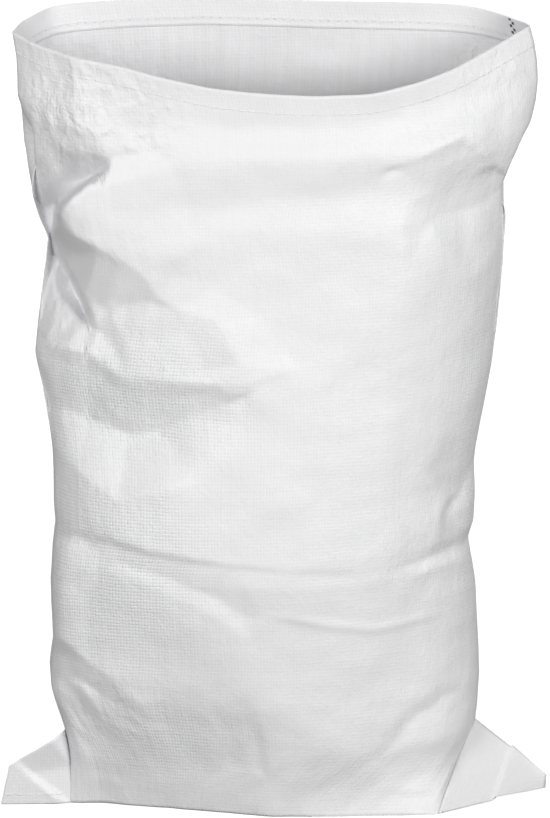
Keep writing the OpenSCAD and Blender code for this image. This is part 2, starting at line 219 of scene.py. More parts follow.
# %% The smooth wall of each panel
WALL_ROWS = 2 * ROWS
RING_POINTS = 91
RIM_PASSES = 12
# 1 at the left of the panel, or at its right edge, and 0 away from there.
AT_LEFT = 1 - smooth(0.25, 0.6, COLUMN_SHARES)
AT_RIGHT = smooth(0.7, 1.0, COLUMN_SHARES)[:, None]
# Shares of the height over which the plan and the depth go over into the edge of the base.
# The left does so more gently. The front's right edge follows its ear's root instead.
FLOOR_REACH = 0.10 + 0.05 * AT_LEFT
DEPTH_REACH = 0.14 + 0.24 * AT_LEFT
# Share of the height from which the wall goes over into the rim.
RIM_START = 0.86


def wall(side):
    """One panel of the sack between the floor and the rim, without its folds."""
    rim_points, foot_points, depths, powers = WALLS[side]
    rim = blur(along([seen(*p) for p in rim_points], COLUMN_SHARES)[None], RIM_PASSES)[0]
    foot = along(np.array(foot_points) * MM, COLUMN_SHARES)
    turn = np.linspace(0, math.pi, RING_POINTS)
    grid = np.zeros((WALL_ROWS + 1, COLUMNS + 1, 3))
    for r, share in enumerate(np.linspace(0, 1, WALL_ROWS + 1)):
        left, right = side_reach(LEFT_SIDE, share), side_reach(RIGHT_SIDE, share)
        depth = np.interp(share, SHARES, depths) * MM
        power = np.interp(share, SHARES, powers)
        ring = np.stack([(left + right) / 2 - (right - left) / 2 * np.cos(turn),
                         side * depth * np.sin(turn).clip(0) ** power, 0 * turn], 1)
        ring = along(ring, COLUMN_SHARES)
        low = 1 - smooth(0.0, 1.0, share / FLOOR_REACH[:, None])
        sunk = (1 - share / DEPTH_REACH[:, None]).clip(0) ** 2
        low = np.hstack([low, sunk, low])
        if side < 0:
            low_edge = 1 - min(1, share * rim[-1, 2] / (EAR_TOP * MM))
            low = low + (low_edge - low) * AT_RIGHT
        high = smooth(RIM_START, 1.0, share)
        rim_plan = rim.copy()
        rim_plan[:, 0] = np.interp(rim[:, 0], [rim[0, 0], rim[-1, 0]], [left, right])
        ring = ring * (1 - low) + foot * low
        grid[r] = ring * (1 - high) + rim_plan * high
        grid[r, :, 2] = share * rim[:, 2]
    return grid


front = wall(-1)
back = wall(1)
print("front depth", round(front[..., 1].min() / MM, 1),
      "back depth", round(back[..., 1].max() / MM, 1))

# %% [markdown]
# Where the front bulges over a side crease, the crease is tucked in between the panels.
# It moves inwards, or straight back as seen from the camera, and takes the cloth beside
# it along.

# %% Tucked side creases
# Each tuck: side, height and half height, how far in and how far back, reach in the cloth.
TUCKS = [(-1, 675, 26, 18, 0, 22), (1, 640, 26, 26, 0, 22), (1, 268, 14, 5, 0, 14),
         (-1, 505, 45, 0, 22, 60), (-1, 600, 30, 0, 30, 70)]
BACK_TUCK_REACH = 0.8


def tuck(grid, reach_share):
    """A panel with its side creases tucked in, over a share of each tuck's reach."""
    for side, height, half_height, inward, backward, reach in TUCKS:
        distance = FLAT_WIDTH * (COLUMN_SHARES if side < 0 else 1 - COLUMN_SHARES)
        near = 1 - smooth(0, 1, distance / (reach * reach_share))
        level = np.exp(-((grid[..., 2] / MM - height) / half_height) ** 2)
        grid[..., 0] -= side * inward * MM * near[None, :] * level
        grid -= (backward * MM * near[None, :] * level)[..., None] * np.array(view_from)
    return grid


front = tuck(front, 1.0)
back = tuck(back, BACK_TUCK_REACH)
print("tucks:", len(TUCKS))

# %% [markdown]
# A standing empty sack buckles. Stiff cloth can't stretch, so its surplus length gathers
# in flat facets with sharp edges between them. The edges are drawn here as lines over the
# front. Each point says how far the cloth stands forward of the smooth wall there, and a
# triangulation fills the facets between the lines.

# %% The folds of the front
# Sharp fold lines: across, up and forward of the smooth wall.
FOLDS = {
    "above the first pocket": [(-249, 673, -2), (-225, 672, 1), (-197, 666, 5), (-177, 660, 7)],
    "brow over the first pocket": [(-248, 647, -5), (-235, 647, -10), (-213, 644, -7),
        (-191, 641, 0), (-179, 643, 4), (-171, 647, 7)],
    "bottom of the first pocket": [(-169, 627, -12), (-174, 623, -26), (-182, 617, -38),
        (-202, 605, -54), (-216, 591, -60), (-220, 581, -54), (-228, 586, -44), (-233, 591, -36)],
    "edge of the swag's nose": [(-163, 635, 4), (-165, 625, 6), (-168, 620, 8), (-177, 615, 14),
        (-198, 602, 26), (-210, 589, 35), (-214, 580, 38), (-211, 571, 36), (-207, 565, 32)],
    "middle of the nose": [(-205, 572, 34), (-200, 582, 29), (-191, 594, 22), (-177, 604, 15),
        (-163, 611, 10), (-135, 617, 5), (-95, 621, 0)],
    "lower edge of the nose": [(-207, 565, 29), (-195, 557, 24), (-175, 547, 17), (-155, 537, 12),
        (-135, 525, 7), (-124, 512, 4), (-118, 500, 1)],
    "left edge of the facet under the nose": [(-223, 557, -20), (-210, 535, -18), (-202, 522, -17),
        (-189, 498, -16), (-180, 476, -14)],
    "lower edge of that facet": [(-118, 500, 1), (-125, 494, -4), (-149, 491, -10),
        (-165, 488, -12), (-180, 476, -14)],
    "floor of the hole behind it": [(-226, 553, -28), (-214, 534, -40), (-206, 519, -52),
        (-195, 499, -66), (-186, 479, -58)],
    "rim of the hole": [(-219, 512, -22), (-216, 501, -24), (-208, 493, -28), (-197, 479, -30),
        (-187, 472, -24), (-177, 471, -15)],
    "right edge of the second pocket": [(-118, 500, 1), (-100, 488, 0), (-79, 482, 2),
        (-58, 475, 5), (-49, 464, 7), (-44, 447, 8), (-34, 431, 8), (-22, 415, 6), (-21, 407, 4)],
    "crest under the second pocket": [(-237, 447, 0), (-225, 449, -2), (-211, 450, -5),
        (-187, 445, -9), (-173, 435, -9), (-153, 420, -6), (-127, 418, -3), (-99, 415, 1),
        (-61, 412, 5), (-35, 412, 7), (-22, 415, 6)],
    "first pleat in it": [(-167, 485, -13), (-163, 479, -11), (-147, 452, -7), (-129, 423, -3),
        (-127, 418, -3)],
    "cloth beside the first pleat": [(-173, 467, -17), (-157, 445, -12), (-147, 427, -6)],
    "second pleat in it": [(-103, 488, -1), (-89, 467, -1), (-77, 445, 0), (-70, 427, 1)],
    "foot of the step under the crest": [(-213, 435, -11), (-187, 428, -15), (-171, 419, -16),
        (-153, 406, -13), (-127, 402, -11), (-99, 401, -8), (-61, 399, -4), (-35, 400, -2)],
    "hollow under the step": [(-215, 392, -16), (-185, 379, -25), (-145, 363, -28),
        (-115, 367, -27), (-83, 379, -15), (-50, 393, -5), (-21, 407, 4)],
    "ridge at the upper right": [(125, 629, 3), (137, 634, 4), (157, 643, 6), (187, 659, 7),
        (203, 644, 5), (218, 628, 0)],
    "sunk triangle under that ridge": [(161, 634, 1), (187, 647, 0), (203, 634, -2),
        (205, 627, -4)],
    "crease from the right edge": [(218, 625, -12), (195, 616, -10), (180, 612, -8), (172, 609, -6),
        (155, 602, -2), (140, 596, 1), (132, 590, 2)],
    "left edge of the right facet": [(132, 590, 2), (128, 582, 2.5), (128, 569, 2.5),
        (130, 555, 1.5), (134, 535, 0)],
    "under the crease from the right edge": [(215, 615, -13), (195, 609, -11.5), (175, 602, -8)],
    "right facet": [(150, 572, -2), (165, 582, -7), (185, 585, -11), (210, 592, -14)],
    "small dimple": [(106, 626, 0), (115, 624, -3.5), (125, 624, 0)],
    "front edge over the small flap": [(201, 351, 0), (198, 340, -3), (192, 325, -7),
        (185, 307, -11), (174, 294, -10), (169, 282, -6), (165, 256, -3)],
    "lower edge of the small flap": [(185, 307, -11), (192, 292, -2), (197, 280, 0)],
    "left edge of its hollow": [(171, 297, -1), (164, 279, 0), (161, 256, 0)],
    "crease below the flap": [(193, 265, -1), (186, 259, -8), (175, 251, -8), (160, 244, -5),
        (145, 238, -3), (137, 231, 0)],
    "swell below the crease": [(197, 241, 0), (180, 237, 1), (162, 232, 2), (143, 223, 2)],
    "first crease across, from packing": [(-219, 268, 1), (-195, 266, 2), (-158, 259, 3),
        (-125, 248, 4), (-83, 240, 3.5), (-38, 233, 3), (15, 229, 2), (35, 228, 2), (75, 228, 1),
        (125, 230, 0)],
    "foot of the first crease": [(-219, 263, -1), (-195, 261, -1), (-159, 253, -1), (-126, 242, 0),
        (-84, 235, 0), (-39, 229, 1), (15, 225, 1), (75, 224, 0)],
    "lower edge of the slope under it": [(-175, 244, -1), (-153, 235, -3), (-105, 219, -4),
        (-57, 200, -4), (-31, 181, -4), (-25, 157, -1)],
    "cloth under that slope": [(-175, 231, 0), (-110, 205, 0), (-63, 185, 0), (-37, 165, 0)],
    "second crease across, from packing": [(-13, 182, 0), (17, 180, 1), (55, 172, 1.5),
        (100, 169, 1.5), (125, 174, 1.5), (150, 181, 1), (175, 187, 0.5), (195, 191, 0)],
    "over the second crease": [(15, 187, 0), (56, 179, 0), (100, 176, 0), (125, 181, 0),
        (150, 188, 0)],
    "under the second crease": [(15, 174, -0.5), (54, 166, -0.3), (100, 163, -0.3),
        (126, 168, -0.6), (151, 175, -0.5)],
    "lower upright crease": [(-25, 107, 0), (-17, 85, 1), (-12, 62, 2), (-8, 32, 2), (-8, 20, 1)],
    "beside the lower upright crease": [(-28, 102, 0), (-21, 81, -1), (-16, 59, -1), (-12, 29, -1)],
    "upper edge of the low left band": [(-219, 145, 0), (-207, 142, 1), (-185, 136, 3),
        (-159, 118, 4), (-132, 89, 3), (-127, 75, 1)],
    "foot of the low left band": [(-219, 123, -2), (-207, 124, -3.5), (-189, 117, -4.5),
        (-171, 103, -4), (-151, 88, -3), (-136, 75, -1)],
    "ridge under it": [(-199, 115, -2), (-189, 107, -1), (-177, 91, -0.5), (-163, 69, 0),
        (-153, 49, 0)],
    "second low left valley": [(-209, 113, -3), (-199, 105, -4.5), (-185, 83, -5.5),
        (-174, 59, -4.5), (-163, 34, -1)],
    "swell at the lower left corner": [(-213, 94, 2), (-203, 73, 5), (-195, 50, 5.5),
        (-189, 22, 4)],
    "full left side": [(-214, 249, 9), (-215, 222, 13), (-215, 192, 14), (-215, 162, 11)],
    "small dent by the floor": [(-57, 64, 0), (-43, 66, -2), (-29, 57, 0)],
    "second small dent by the floor": [(-65, 37, 0), (-43, 36, -2), (-25, 29, 0)],
    "low right valley": [(187, 115, 0), (180, 107, -1.5), (166, 101, -2.5), (157, 91, -2.5),
        (143, 86, -2.5), (129, 73, -2.5), (119, 57, -2), (105, 40, -1), (99, 31, 0)],
    "under the low right valley": [(189, 101, 1), (173, 89, 1.5), (161, 75, 2), (143, 62, 2),
        (129, 49, 1.5)],
    "beside the right ear's root": [(195, 93, 3), (188, 75, 5), (179, 55, 7), (171, 35, 7),
        (164, 15, 5), (157, -2, 2)],
    "face beside it": [(159, 52, 6), (151, 29, 6), (141, 8, 3)],
    "over the low right valley": [(187, 125, 0), (161, 113, 0), (149, 100, 0), (133, 91, 0),
        (117, 75, 0), (105, 55, 0)],
}
# Lines of the wide soft forms.
SWELLS = {
    "hollow under the hem": [(-215, 679, 0), (-175, 675, 0), (-125, 669, -2), (-45, 664, -3),
        (35, 663, -4), (125, 671, -4), (190, 684, -4), (253, 697, 0)],
    "crest of the swag": [(-165, 613, 0), (-125, 622, 3), (-75, 630, 6), (-25, 634, 7),
        (25, 635, 7), (75, 636, 7), (125, 638, 6), (155, 644, 4), (185, 655, 3), (253, 669, 2)],
    "valley under the crest": [(-165, 569, 0), (-125, 575, 0), (-75, 587, -1), (25, 594, -3),
        (95, 599, -4), (125, 603, -2), (155, 607, 0)],
    "swell under that valley": [(-135, 535, 2), (-75, 557, 3), (25, 562, 3), (95, 557, 4),
        (121, 561, 5)],
    "left of the right facet": [(121, 561, 5), (125, 535, 9), (129, 497, 9), (123, 447, 6),
        (110, 397, 3)],
    "middle of the right facet": [(155, 557, 4), (153, 507, 5), (145, 457, 4), (133, 407, 2)],
    "edge of the strip that turns away": [(203, 597, 0), (195, 565, 0), (189, 535, 1), (179, 495, 2),
        (166, 445, 2), (155, 395, 1)],
    "edge behind it": [(225, 582, -8), (221, 537, -11), (217, 487, -12), (213, 447, -9),
        (205, 387, -4)],
    "swell under the hollow at the left": [(-220, 337, 0), (-195, 315, 1), (-145, 307, 2),
        (-85, 325, 3), (-35, 353, 3), (0, 385, 2)],
    "left side, lower half": [(-211, 247, 7), (-213, 197, 9), (-213, 152, 8), (-207, 107, 5),
        (-197, 67, 5), (-189, 32, 3)],
    "inside it": [(-173, 237, 4), (-175, 197, 5), (-175, 157, 3)],
    "upright swell": [(-5, 327, 0), (-13, 277, -1), (-25, 237, 0)],
    "hollow over the second crease": [(125, 222, 0), (145, 207, -2), (165, 197, -1)],
    "hollow under the second crease": [(25, 142, 0), (85, 132, -1), (135, 142, -3), (180, 152, -2)],
    "upper edge of the overhang above the floor": [(-200, 27, 1), (-125, 25, 0.5), (-45, 25, 0.5),
        (-13, 29, 1), (25, 40, 4), (65, 50, 8), (90, 35, 9), (120, 15, 8), (150, -1, 4),
        (165, -9, 0)],
    "swell beside the ear": [(105, 37, 2), (135, 40, 4), (161, 62, 4), (181, 81, 3)],
    "the floor": [(-205, -2, 0), (-175, -6, 0), (-125, -9, 0), (-75, -13, 0), (-25, -17, 0),
        (5, -19, 0), (85, -18, 0), (165, -18, 0)],
}
# Places between the lines where the cloth stays on the wall.
FOLD_ANCHORS = [
    (-260, 761), (-200, 735), (-155, 726), (-110, 714), (-30, 700), (35, 696), (95, 698),
    (145, 711), (180, 725), (210, 742), (253, 768), (-165, 693), (-75, 683), (25, 679), (125, 687),
    (175, 699), (225, 702), (-125, 647), (-25, 607), (55, 582), (105, 607), (55, 547), (55, 467),
    (55, 377), (15, 507), (25, 427), (85, 497), (85, 317), (125, 277), (150, 327), (170, 367),
    (180, 437), (195, 517), (155, 497), (125, 397), (-75, 547), (-60, 507), (-13, 477), (-75, 317),
    (-25, 367), (-155, 297), (-195, 327), (5, 357), (55, 267), (-155, 177), (-105, 147), (-75, 97),
    (55, 107), (-185, 197), (-45, 137), (-85, 62), (25, 57), (75, 57), (-115, 37), (-115, 97),
    (165, 147), (195, 157), (145, 207), (95, 207), (-150, 12), (-75, 12), (25, 12), (105, 7),
    (25, -3), (-275, 797), (275, 797), (-275, 397), (275, 397), (275, 197), (-275, 197), (265, 697),
    (-275, 697), (-275, 597), (275, 597), (-225, -43), (-25, -53), (275, -43), (219, 462),
    (210, 422), (203, 377), (221, 517), (228, 557), (200, 297), (203, 217),
]
SWELL_ANCHORS = [
    (-260, 761), (-155, 726), (-30, 700), (95, 698), (180, 725), (253, 768), (-235, 597),
    (-235, 467), (-215, 517), (-125, 467), (-75, 427), (55, 467), (55, 377), (75, 517), (-75, 197),
    (55, 237), (55, 177), (-75, 97), (55, 97), (200, 237), (203, 157), (203, 97), (125, 107),
    (-275, 797), (275, 797), (-275, 397), (275, 397), (275, 197), (-275, 197), (275, 697),
    (-275, 697), (275, 597), (-225, -43), (-25, -53), (275, -43),
]


# %% Facets between the lines
TINY = 1e-6


def corner_level(corner, sources, points, heights):
    """Forward distance at a corner of the triangulation, which may be where lines cross."""
    if sources:
        return heights[sources[0]]
    print("lines cross at", tuple(corner))
    near = sorted(range(len(points)), key=lambda k: (points[k] - corner).length)[:2]
    return sum(heights[k] for k in near) / 2


def facets(lines, anchors, across, up):
    """Forward distance at places of the view, over flat facets between the lines."""
    points, heights, edges = [], [], []
    index = {}
    for line in list(lines.values()) + [[(a, b, 0)] for a, b in anchors]:
        previous = None
        for a, b, forward in line:
            if (a, b) not in index:
                index[(a, b)] = len(points)
                points.append(Vector((a, b)))
                heights.append(forward)
            here = index[(a, b)]
            if previous is not None:
                edges.append((previous, here))
            previous = here
    corners, _, triangles, origin, _, _ = delaunay_2d_cdt(points, edges, [], 0, 0.01)
    level = [corner_level(corner, sources, points, heights)
             for corner, sources in zip(corners, origin)]
    result = np.zeros_like(across)
    for first, second, third in triangles:
        (ax, ay), (bx, by), (cx, cy) = corners[first], corners[second], corners[third]
        area = (by - cy) * (ax - cx) + (cx - bx) * (ay - cy)
        if abs(area) < TINY:
            continue
        p = ((by - cy) * (across - cx) + (cx - bx) * (up - cy)) / area
        q = ((cy - ay) * (across - cx) + (ax - cx) * (up - cy)) / area
        inside = (p >= -TINY) & (q >= -TINY) & (p + q <= 1 + TINY)
        value = p * level[first] + q * level[second] + (1 - p - q) * level[third]
        result[inside] = value[inside]
    return result


def towards_edge(reach):
    """0 at both creases of a panel and 1 further in than reach (mm)."""
    return np.clip(np.minimum(COLUMN_PLACES, FLAT_WIDTH - COLUMN_PLACES) / reach, 0, 1)


# %% [markdown]
# The two layers of lines are added up. The sharp one keeps its edges, and the other is
# smoothed into wide soft swells. Both fade out at the side creases.

# %% Folding the front
# Parts where the sharp facets run out softly: across, up, both half sizes and how often
# they are smoothed.
RUN_OUT = [(-48, 345, 62, 36, 60), (-140, 62, 55, 34, 60), (-219, 626, 27, 24, 12)]
SWELL_PASSES = 60
FOLD_FADE = 10

across, up = in_view(front)
sharp = blur(facets(FOLDS, FOLD_ANCHORS, across, up), 1)
for a, b, half_a, half_b, passes in RUN_OUT:
    near = np.exp(-((across - a) / half_a) ** 4 - ((up - b) / half_b) ** 4)
    sharp = sharp + (blur(sharp, passes) - sharp) * near
forward = sharp + blur(facets(SWELLS, SWELL_ANCHORS, across, up), SWELL_PASSES)
forward *= towards_edge(FOLD_FADE)[None, :]
front += forward[..., None] * MM * np.array(view_from)
print("folds reach from", round(forward.min(), 1), "to", round(forward.max(), 1))


# %% Rows at equal steps of cloth
def even_rows(grid):
    """A panel whose rows follow its folds, at equal steps of cloth."""
    shares = np.linspace(0, 1, ROWS + 1)
    return np.stack([along(grid[:, c], shares) for c in range(grid.shape[1])], 1)


def cloth_places(grid):
    """Places for the weave: across the cloth from its left edge, and up from the floor."""
    if grid.shape[1] == COLUMNS + 1:
        across = np.broadcast_to(COLUMN_PLACES * MM, grid.shape[:2])
    else:
        across = np.array([run_of(row) for row in grid])
    return across, grid[..., 2]


def outward(grid, side):
    """Unit normals of a panel's grid, pointing out of the sack."""
    return -side * unit(np.cross(np.gradient(grid, axis=1), np.gradient(grid, axis=0)))


front = even_rows(front)
back = even_rows(back)
print("front at its middle:", round(run_of(front[:, COLUMNS // 2])[-1] / MM), "mm of cloth")

# %% [markdown]
# Small crumples cover the cloth: a soft unevenness everywhere, sharp little ridges where
# it has been gripped under the mouth, and long streaks where single tapes stand proud.

# %% Crumples
# Zones of sharp crumples: place across and up in the view, half sizes, and strength.
CRUMPLED = [(-195, 690, 88, 48, 1.0), (-130, 655, 60, 30, 0.6), (-225, 480, 30, 60, 0.5),
            (-205, 645, 45, 30, 0.8), (215, 720, 50, 40, 0.45),
            (-150, 395, 90, 40, 0.35), (-190, 290, 60, 60, 0.25), (180, 640, 60, 40, 0.3),
            (150, 250, 60, 60, 0.25), (-160, 90, 60, 50, 0.4)]
# Zones where the cloth isn't pulled flat, so its tapes stand out.
LOOSE = [(-150, 395, 130, 90, 1.0), (-165, 230, 110, 130, 0.9), (205, 350, 45, 250, 0.5),
         (-200, 690, 60, 50, 0.35), (-120, 60, 130, 60, 0.6)]
LEAST_CRUMPLED = 0.08
LEAST_LOOSE = 0.25
# Unevenness everywhere, the last of it in streaks: sizes across and up, and height.
UNEVEN = [(62, 48, 1.5), (27, 21, 0.7), (4.5, 70, 0.22)]
# The same for the ridges in the zones.
RIDGES = [(13, 19, 1.9), (7, 8, 0.95)]
SEEDS = {-1: 3.7, 1: 9.1}
CRUMPLE_FADE = 16


def in_zones(grid, zones, least):
    """How strongly each place of a grid lies in some zones of the view."""
    across, up = in_view(grid)
    strength = np.full(across.shape, least)
    for a, b, half_a, half_b, much in zones:
        zone = np.exp(-((across - a) / half_a) ** 2 - ((up - b) / half_b) ** 2)
        strength = np.maximum(strength, zone * much)
    return strength


def noise_field(u, v, u_size, v_size, seed):
    """Smooth noise over the flat cloth, with spots of a size across and up (mm)."""
    return np.array([[noise.noise(Vector((a / u_size, b / v_size, seed)))
                      for a, b in zip(row_u, row_v)] for row_u, row_v in zip(u, v)])


def crumple(grid, side):
    """A panel moved along its normals by its unevenness and its ridges."""
    u, v = (part / MM for part in cloth_places(grid))
    offset = np.zeros(u.shape)
    for n, (wide, tall, height) in enumerate(UNEVEN):
        offset += height * noise_field(u, v, wide, tall, SEEDS[side] + n)
    strength = in_zones(grid, CRUMPLED, LEAST_CRUMPLED)
    for n, (wide, tall, height) in enumerate(RIDGES, len(UNEVEN)):
        ridge = 0.5 - abs(noise_field(u, v, wide, tall, SEEDS[side] + n))
        offset += height * ridge * strength
    offset *= towards_edge(CRUMPLE_FADE)[None, :]
    return grid + offset[..., None] * MM * outward(grid, side)


front = crumple(front, -1)
back = crumple(back, 1)
print("zones:", len(CRUMPLED), "crumpled,", len(LOOSE), "loose")

# %% [markdown]
# Every ply is a grid of faces with a thickness. It carries its place on the flat cloth
# for the weave, and how crumpled and how loose it is there for the fine relief.


# %% Meshes from grids
def new_piece(name, verts, faces, rounded=True):
    """An object with a mesh of its own, linked to the scene."""
    mesh = bpy.data.meshes.new(name)
    mesh.from_pydata(verts, [], faces)
    if rounded:
        mesh.polygons.foreach_set("use_smooth", [True] * len(mesh.polygons))
    piece = bpy.data.objects.new(name, mesh)
    bpy.context.scene.collection.objects.link(piece)
    return piece


def thicken(piece, thickness):
    """Give a sheet of faces its thickness, to the inside."""
    bpy.ops.object.select_all(action="DESELECT")
    bpy.context.view_layer.objects.active = piece
    piece.select_set(True)
    solid = piece.modifiers.new("ply", "SOLIDIFY")
    solid.thickness = thickness * MM
    solid.offset = -1
    bpy.ops.object.modifier_apply(modifier="ply")


def cloth_mesh(name, grid, flip, places=None, thickness=PLY):
    """A ply of cloth from a grid of points, with its weave laid out in places."""
    rows, columns = grid.shape[0] - 1, grid.shape[1] - 1
    faces = []
    for r in range(rows):
        for c in range(columns):
            a = r * (columns + 1) + c
            quad = (a, a + 1, a + columns + 2, a + columns + 1)
            faces.append(quad[::-1] if flip else quad)
    piece = new_piece(name, [tuple(v) for v in grid.reshape(-1, 3)], faces)
    mesh = piece.data
    u, v = places if places is not None else cloth_places(grid)
    uv = mesh.uv_layers.new(name="cloth")
    corner = np.zeros(len(mesh.loops), int)
    mesh.loops.foreach_get("vertex_index", corner)
    place = np.stack([u.reshape(-1)[corner], v.reshape(-1)[corner]], 1)
    uv.data.foreach_set("uv", place.reshape(-1))
    for part, zones, least in (("crumpled", CRUMPLED, LEAST_CRUMPLED),
                               ("loose", LOOSE, LEAST_LOOSE)):
        amount = mesh.attributes.new(part, "FLOAT", "POINT")
        amount.data.foreach_set("value", in_zones(grid, zones, least).reshape(-1))
    thicken(piece, thickness)
    return piece


front_cloth = cloth_mesh("front_cloth", front, False)
back_cloth = cloth_mesh("back_cloth", back, True)
print("panels:", len(front_cloth.data.polygons), len(back_cloth.data.polygons))

# %% [markdown]
# At the mouth the cloth is turned in and sewn. The hem starts at the rim's outer face,
# rolls over it and runs down inside. Its lower edge isn't held, so it stands off a little.

# %% The mouth hem
HEM_WIDTH = 28
HEM_STITCH_DROP = 20
HEM_FACE = -1.05
HEM_PLY = 0.45
# Section of the fold over the rim, then of the flat part: drop below the rim, and out.
HEM_FOLD = [(0.1, 0.03), (-0.4, -0.1), (-0.6, -0.45), (-0.5, -0.8), (0.2, HEM_FACE)]
HEM_FLAT = [(drop, HEM_FACE) for drop in np.linspace(2.5, HEM_WIDTH, 10)]
# How far the free edge stands off: on average, its variation, and the length of that.
EDGE_LIFT, EDGE_WAVE, EDGE_WAVE_LENGTH = 0.3, 0.4, 21
EDGE_FADE = 20


def rim_line(grid, side, drop, out):
    """Points of a panel at a distance below its rim (mm), moved out of its face."""
    normal = outward(grid, side)
    at = max(drop, 0) * MM
    result = np.zeros((grid.shape[1], 3))
    for c in range(grid.shape[1]):
        run = run_of(grid[::-1, c])
        result[c] = line_at(grid[::-1, c], run, at) + line_at(normal[::-1, c], run, at) * out * MM
    result[:, 2] += max(-drop, 0) * MM
    return result


def mouth_hem(name, grid, side):
    """The turned-in edge of a panel."""
    drops = np.array([drop for drop, _ in HEM_FOLD + HEM_FLAT])
    strip = np.array([rim_line(grid, side, drop, out) for drop, out in HEM_FOLD + HEM_FLAT])
    wave = np.array([noise.noise(Vector((a / EDGE_WAVE_LENGTH, 0, 5 + side)))
                     for a in COLUMN_PLACES])
    lift = (EDGE_LIFT + EDGE_WAVE * wave) * towards_edge(EDGE_FADE)
    free = smooth(HEM_STITCH_DROP, HEM_WIDTH, drops)
    strip -= (free[:, None] * lift * MM)[..., None] * outward(grid, side)[-1]
    across = np.broadcast_to(COLUMN_PLACES * MM, strip.shape[:2])
    up = drops[:, None] * MM * np.ones_like(across)
    return cloth_mesh(name, strip, side > 0, (across, up), HEM_PLY)


print("hem:", HEM_WIDTH, "mm wide, sewn", HEM_STITCH_DROP, "mm below the rim")

# %% [markdown]
# A bag sewing machine makes a chain stitch. On one side its needle thread shows as short
# straight stitches, and on the other its looper thread lies in a chain of loops. Both are
# round threads here, drawn stitch by stitch along the seam.

# %% Sewing thread
THREAD_RADIUS = 0.42
LOOPER_RADIUS = 0.3
STITCH = 9
STITCH_GAP = 1.4
# Rise of a straight stitch over the cloth. Its ends dip into the needle holes.
STITCH_RISE = np.array([-0.5, 0.15, 0.25, 0.25, 0.15, -0.5])
# A loop's points, its overlap with the next as a share of a stitch, its half width, and
# how high it lies halfway and how much higher where it starts.
LOOP_POINTS = 8
LOOP_OVERLAP = 0.09
LOOP_SPREAD = 0.95
LOOP_HEIGHT, LOOP_SLOPE = 0.25, 0.2


def tube_mesh(name, paths, radius, sides=6):
    """Round threads along paths of points, all in one mesh, with closed ends."""
    verts, faces = [], []
    for path in paths:
        path = np.asarray(path, float)
        heading = unit(np.gradient(path, axis=0))
        helper = np.array([0, 0, 1.0]) if abs(heading[0][2]) < 0.8 else np.array([1.0, 0, 0])
        start = len(verts)
        for place, ahead in zip(path, heading):
            first = unit(np.cross(ahead, helper))
            second = np.cross(ahead, first)
            for k in range(sides):
                angle = 2 * math.pi * k / sides
                verts.append(tuple(place + radius * MM * (math.cos(angle) * first
                                                          + math.sin(angle) * second)))
        count = len(path)
        for ring in range(count - 1):
            for k in range(sides):
                a = start + ring * sides + k
                b = start + ring * sides + (k + 1) % sides
                faces.append((a, b, b + sides, a + sides))
        faces.append(tuple(start + k for k in reversed(range(sides))))
        last = start + (count - 1) * sides
        faces.append(tuple(last + k for k in range(sides)))
    return new_piece(name, verts, faces)


def stitch_count(line):
    """How many stitches fit along a line of points."""
    return int(run_of(line)[-1] / MM // STITCH)


def needle_stitches(line, normal, shares=None):
    """Straight stitches that dip into the cloth at both ends, along a line of points."""
    shares = np.linspace(0, 1, len(line)) if shares is None else shares
    gap = STITCH_GAP / STITCH / 2
    count = stitch_count(line)
    paths = []
    for n in range(count):
        at = (n + np.linspace(gap, 1 - gap, len(STITCH_RISE))) / count
        out = line_at(normal, shares, at)
        paths.append(line_at(line, shares, at) + out * (STITCH_RISE * MM)[:, None])
    return paths


def looper_chain(line, normal, side_way, shares=None):
    """A chain of loops that lies on the cloth: two strands that meet at every stitch."""
    shares = np.linspace(0, 1, len(line)) if shares is None else shares
    t = np.linspace(0, 1, LOOP_POINTS)
    rise = LOOP_HEIGHT + LOOP_SLOPE * np.cos(math.pi * t)
    count = stitch_count(line)
    paths = []
    for n in range(count):
        at = np.clip((n + t * (1 + 2 * LOOP_OVERLAP) - LOOP_OVERLAP) / count, 0, 1)
        middle = line_at(line, shares, at) + line_at(normal, shares, at) * (rise * MM)[:, None]
        for strand in (-1, 1):
            spread = strand * LOOP_SPREAD * np.sin(math.pi * t) ** 0.6
            paths.append(middle + np.asarray(side_way) * (spread * MM)[:, None])
    return paths


# %% The mouth's seam and hem
UP = (0, 0, 1)
# How far the needle thread's line lies off the face of the cloth.
ON_FACE = 0.1
mouth_stitches, mouth_chain = [], []
for grid, side in ((front, -1), (back, 1)):
    seam = rim_line(grid, side, HEM_STITCH_DROP, ON_FACE)
    out = unit(rim_line(grid, side, HEM_STITCH_DROP, ON_FACE + 1) - seam)
    mouth_stitches += needle_stitches(seam, out, COLUMN_SHARES)
    inner = rim_line(grid, side, HEM_STITCH_DROP, HEM_FACE)
    mouth_chain += looper_chain(inner, -out, UP, COLUMN_SHARES)
mouth_needle = tube_mesh("mouth_needle_stitches", mouth_stitches, THREAD_RADIUS)
mouth_looper = tube_mesh("mouth_looper_chain", mouth_chain, THREAD_RADIUS * 0.6, 5)
hem_front = mouth_hem("mouth_hem_front_cloth", front, -1)
hem_back = mouth_hem("mouth_hem_back_cloth", back, 1)
print("mouth stitches:", len(mouth_stitches))

# %% [markdown]
# Two warp tapes in the back panel are coloured, so that the filler knows the sack. Like
# every warp tape they run over one weft tape and under the next, so from either side
# they show as two columns of dashes, half a step apart.

# %% The coloured tapes
TAPE_PITCH = 3.5
MARKER_CELLS = (145, 146)
MARKER_GAP = 0.2
MARKER_PLY = 0.12
# Points of a tape for each weft tape that it crosses, and how suddenly it changes sides.
MARKER_STEPS = 6
MARKER_SNAP = 2.2
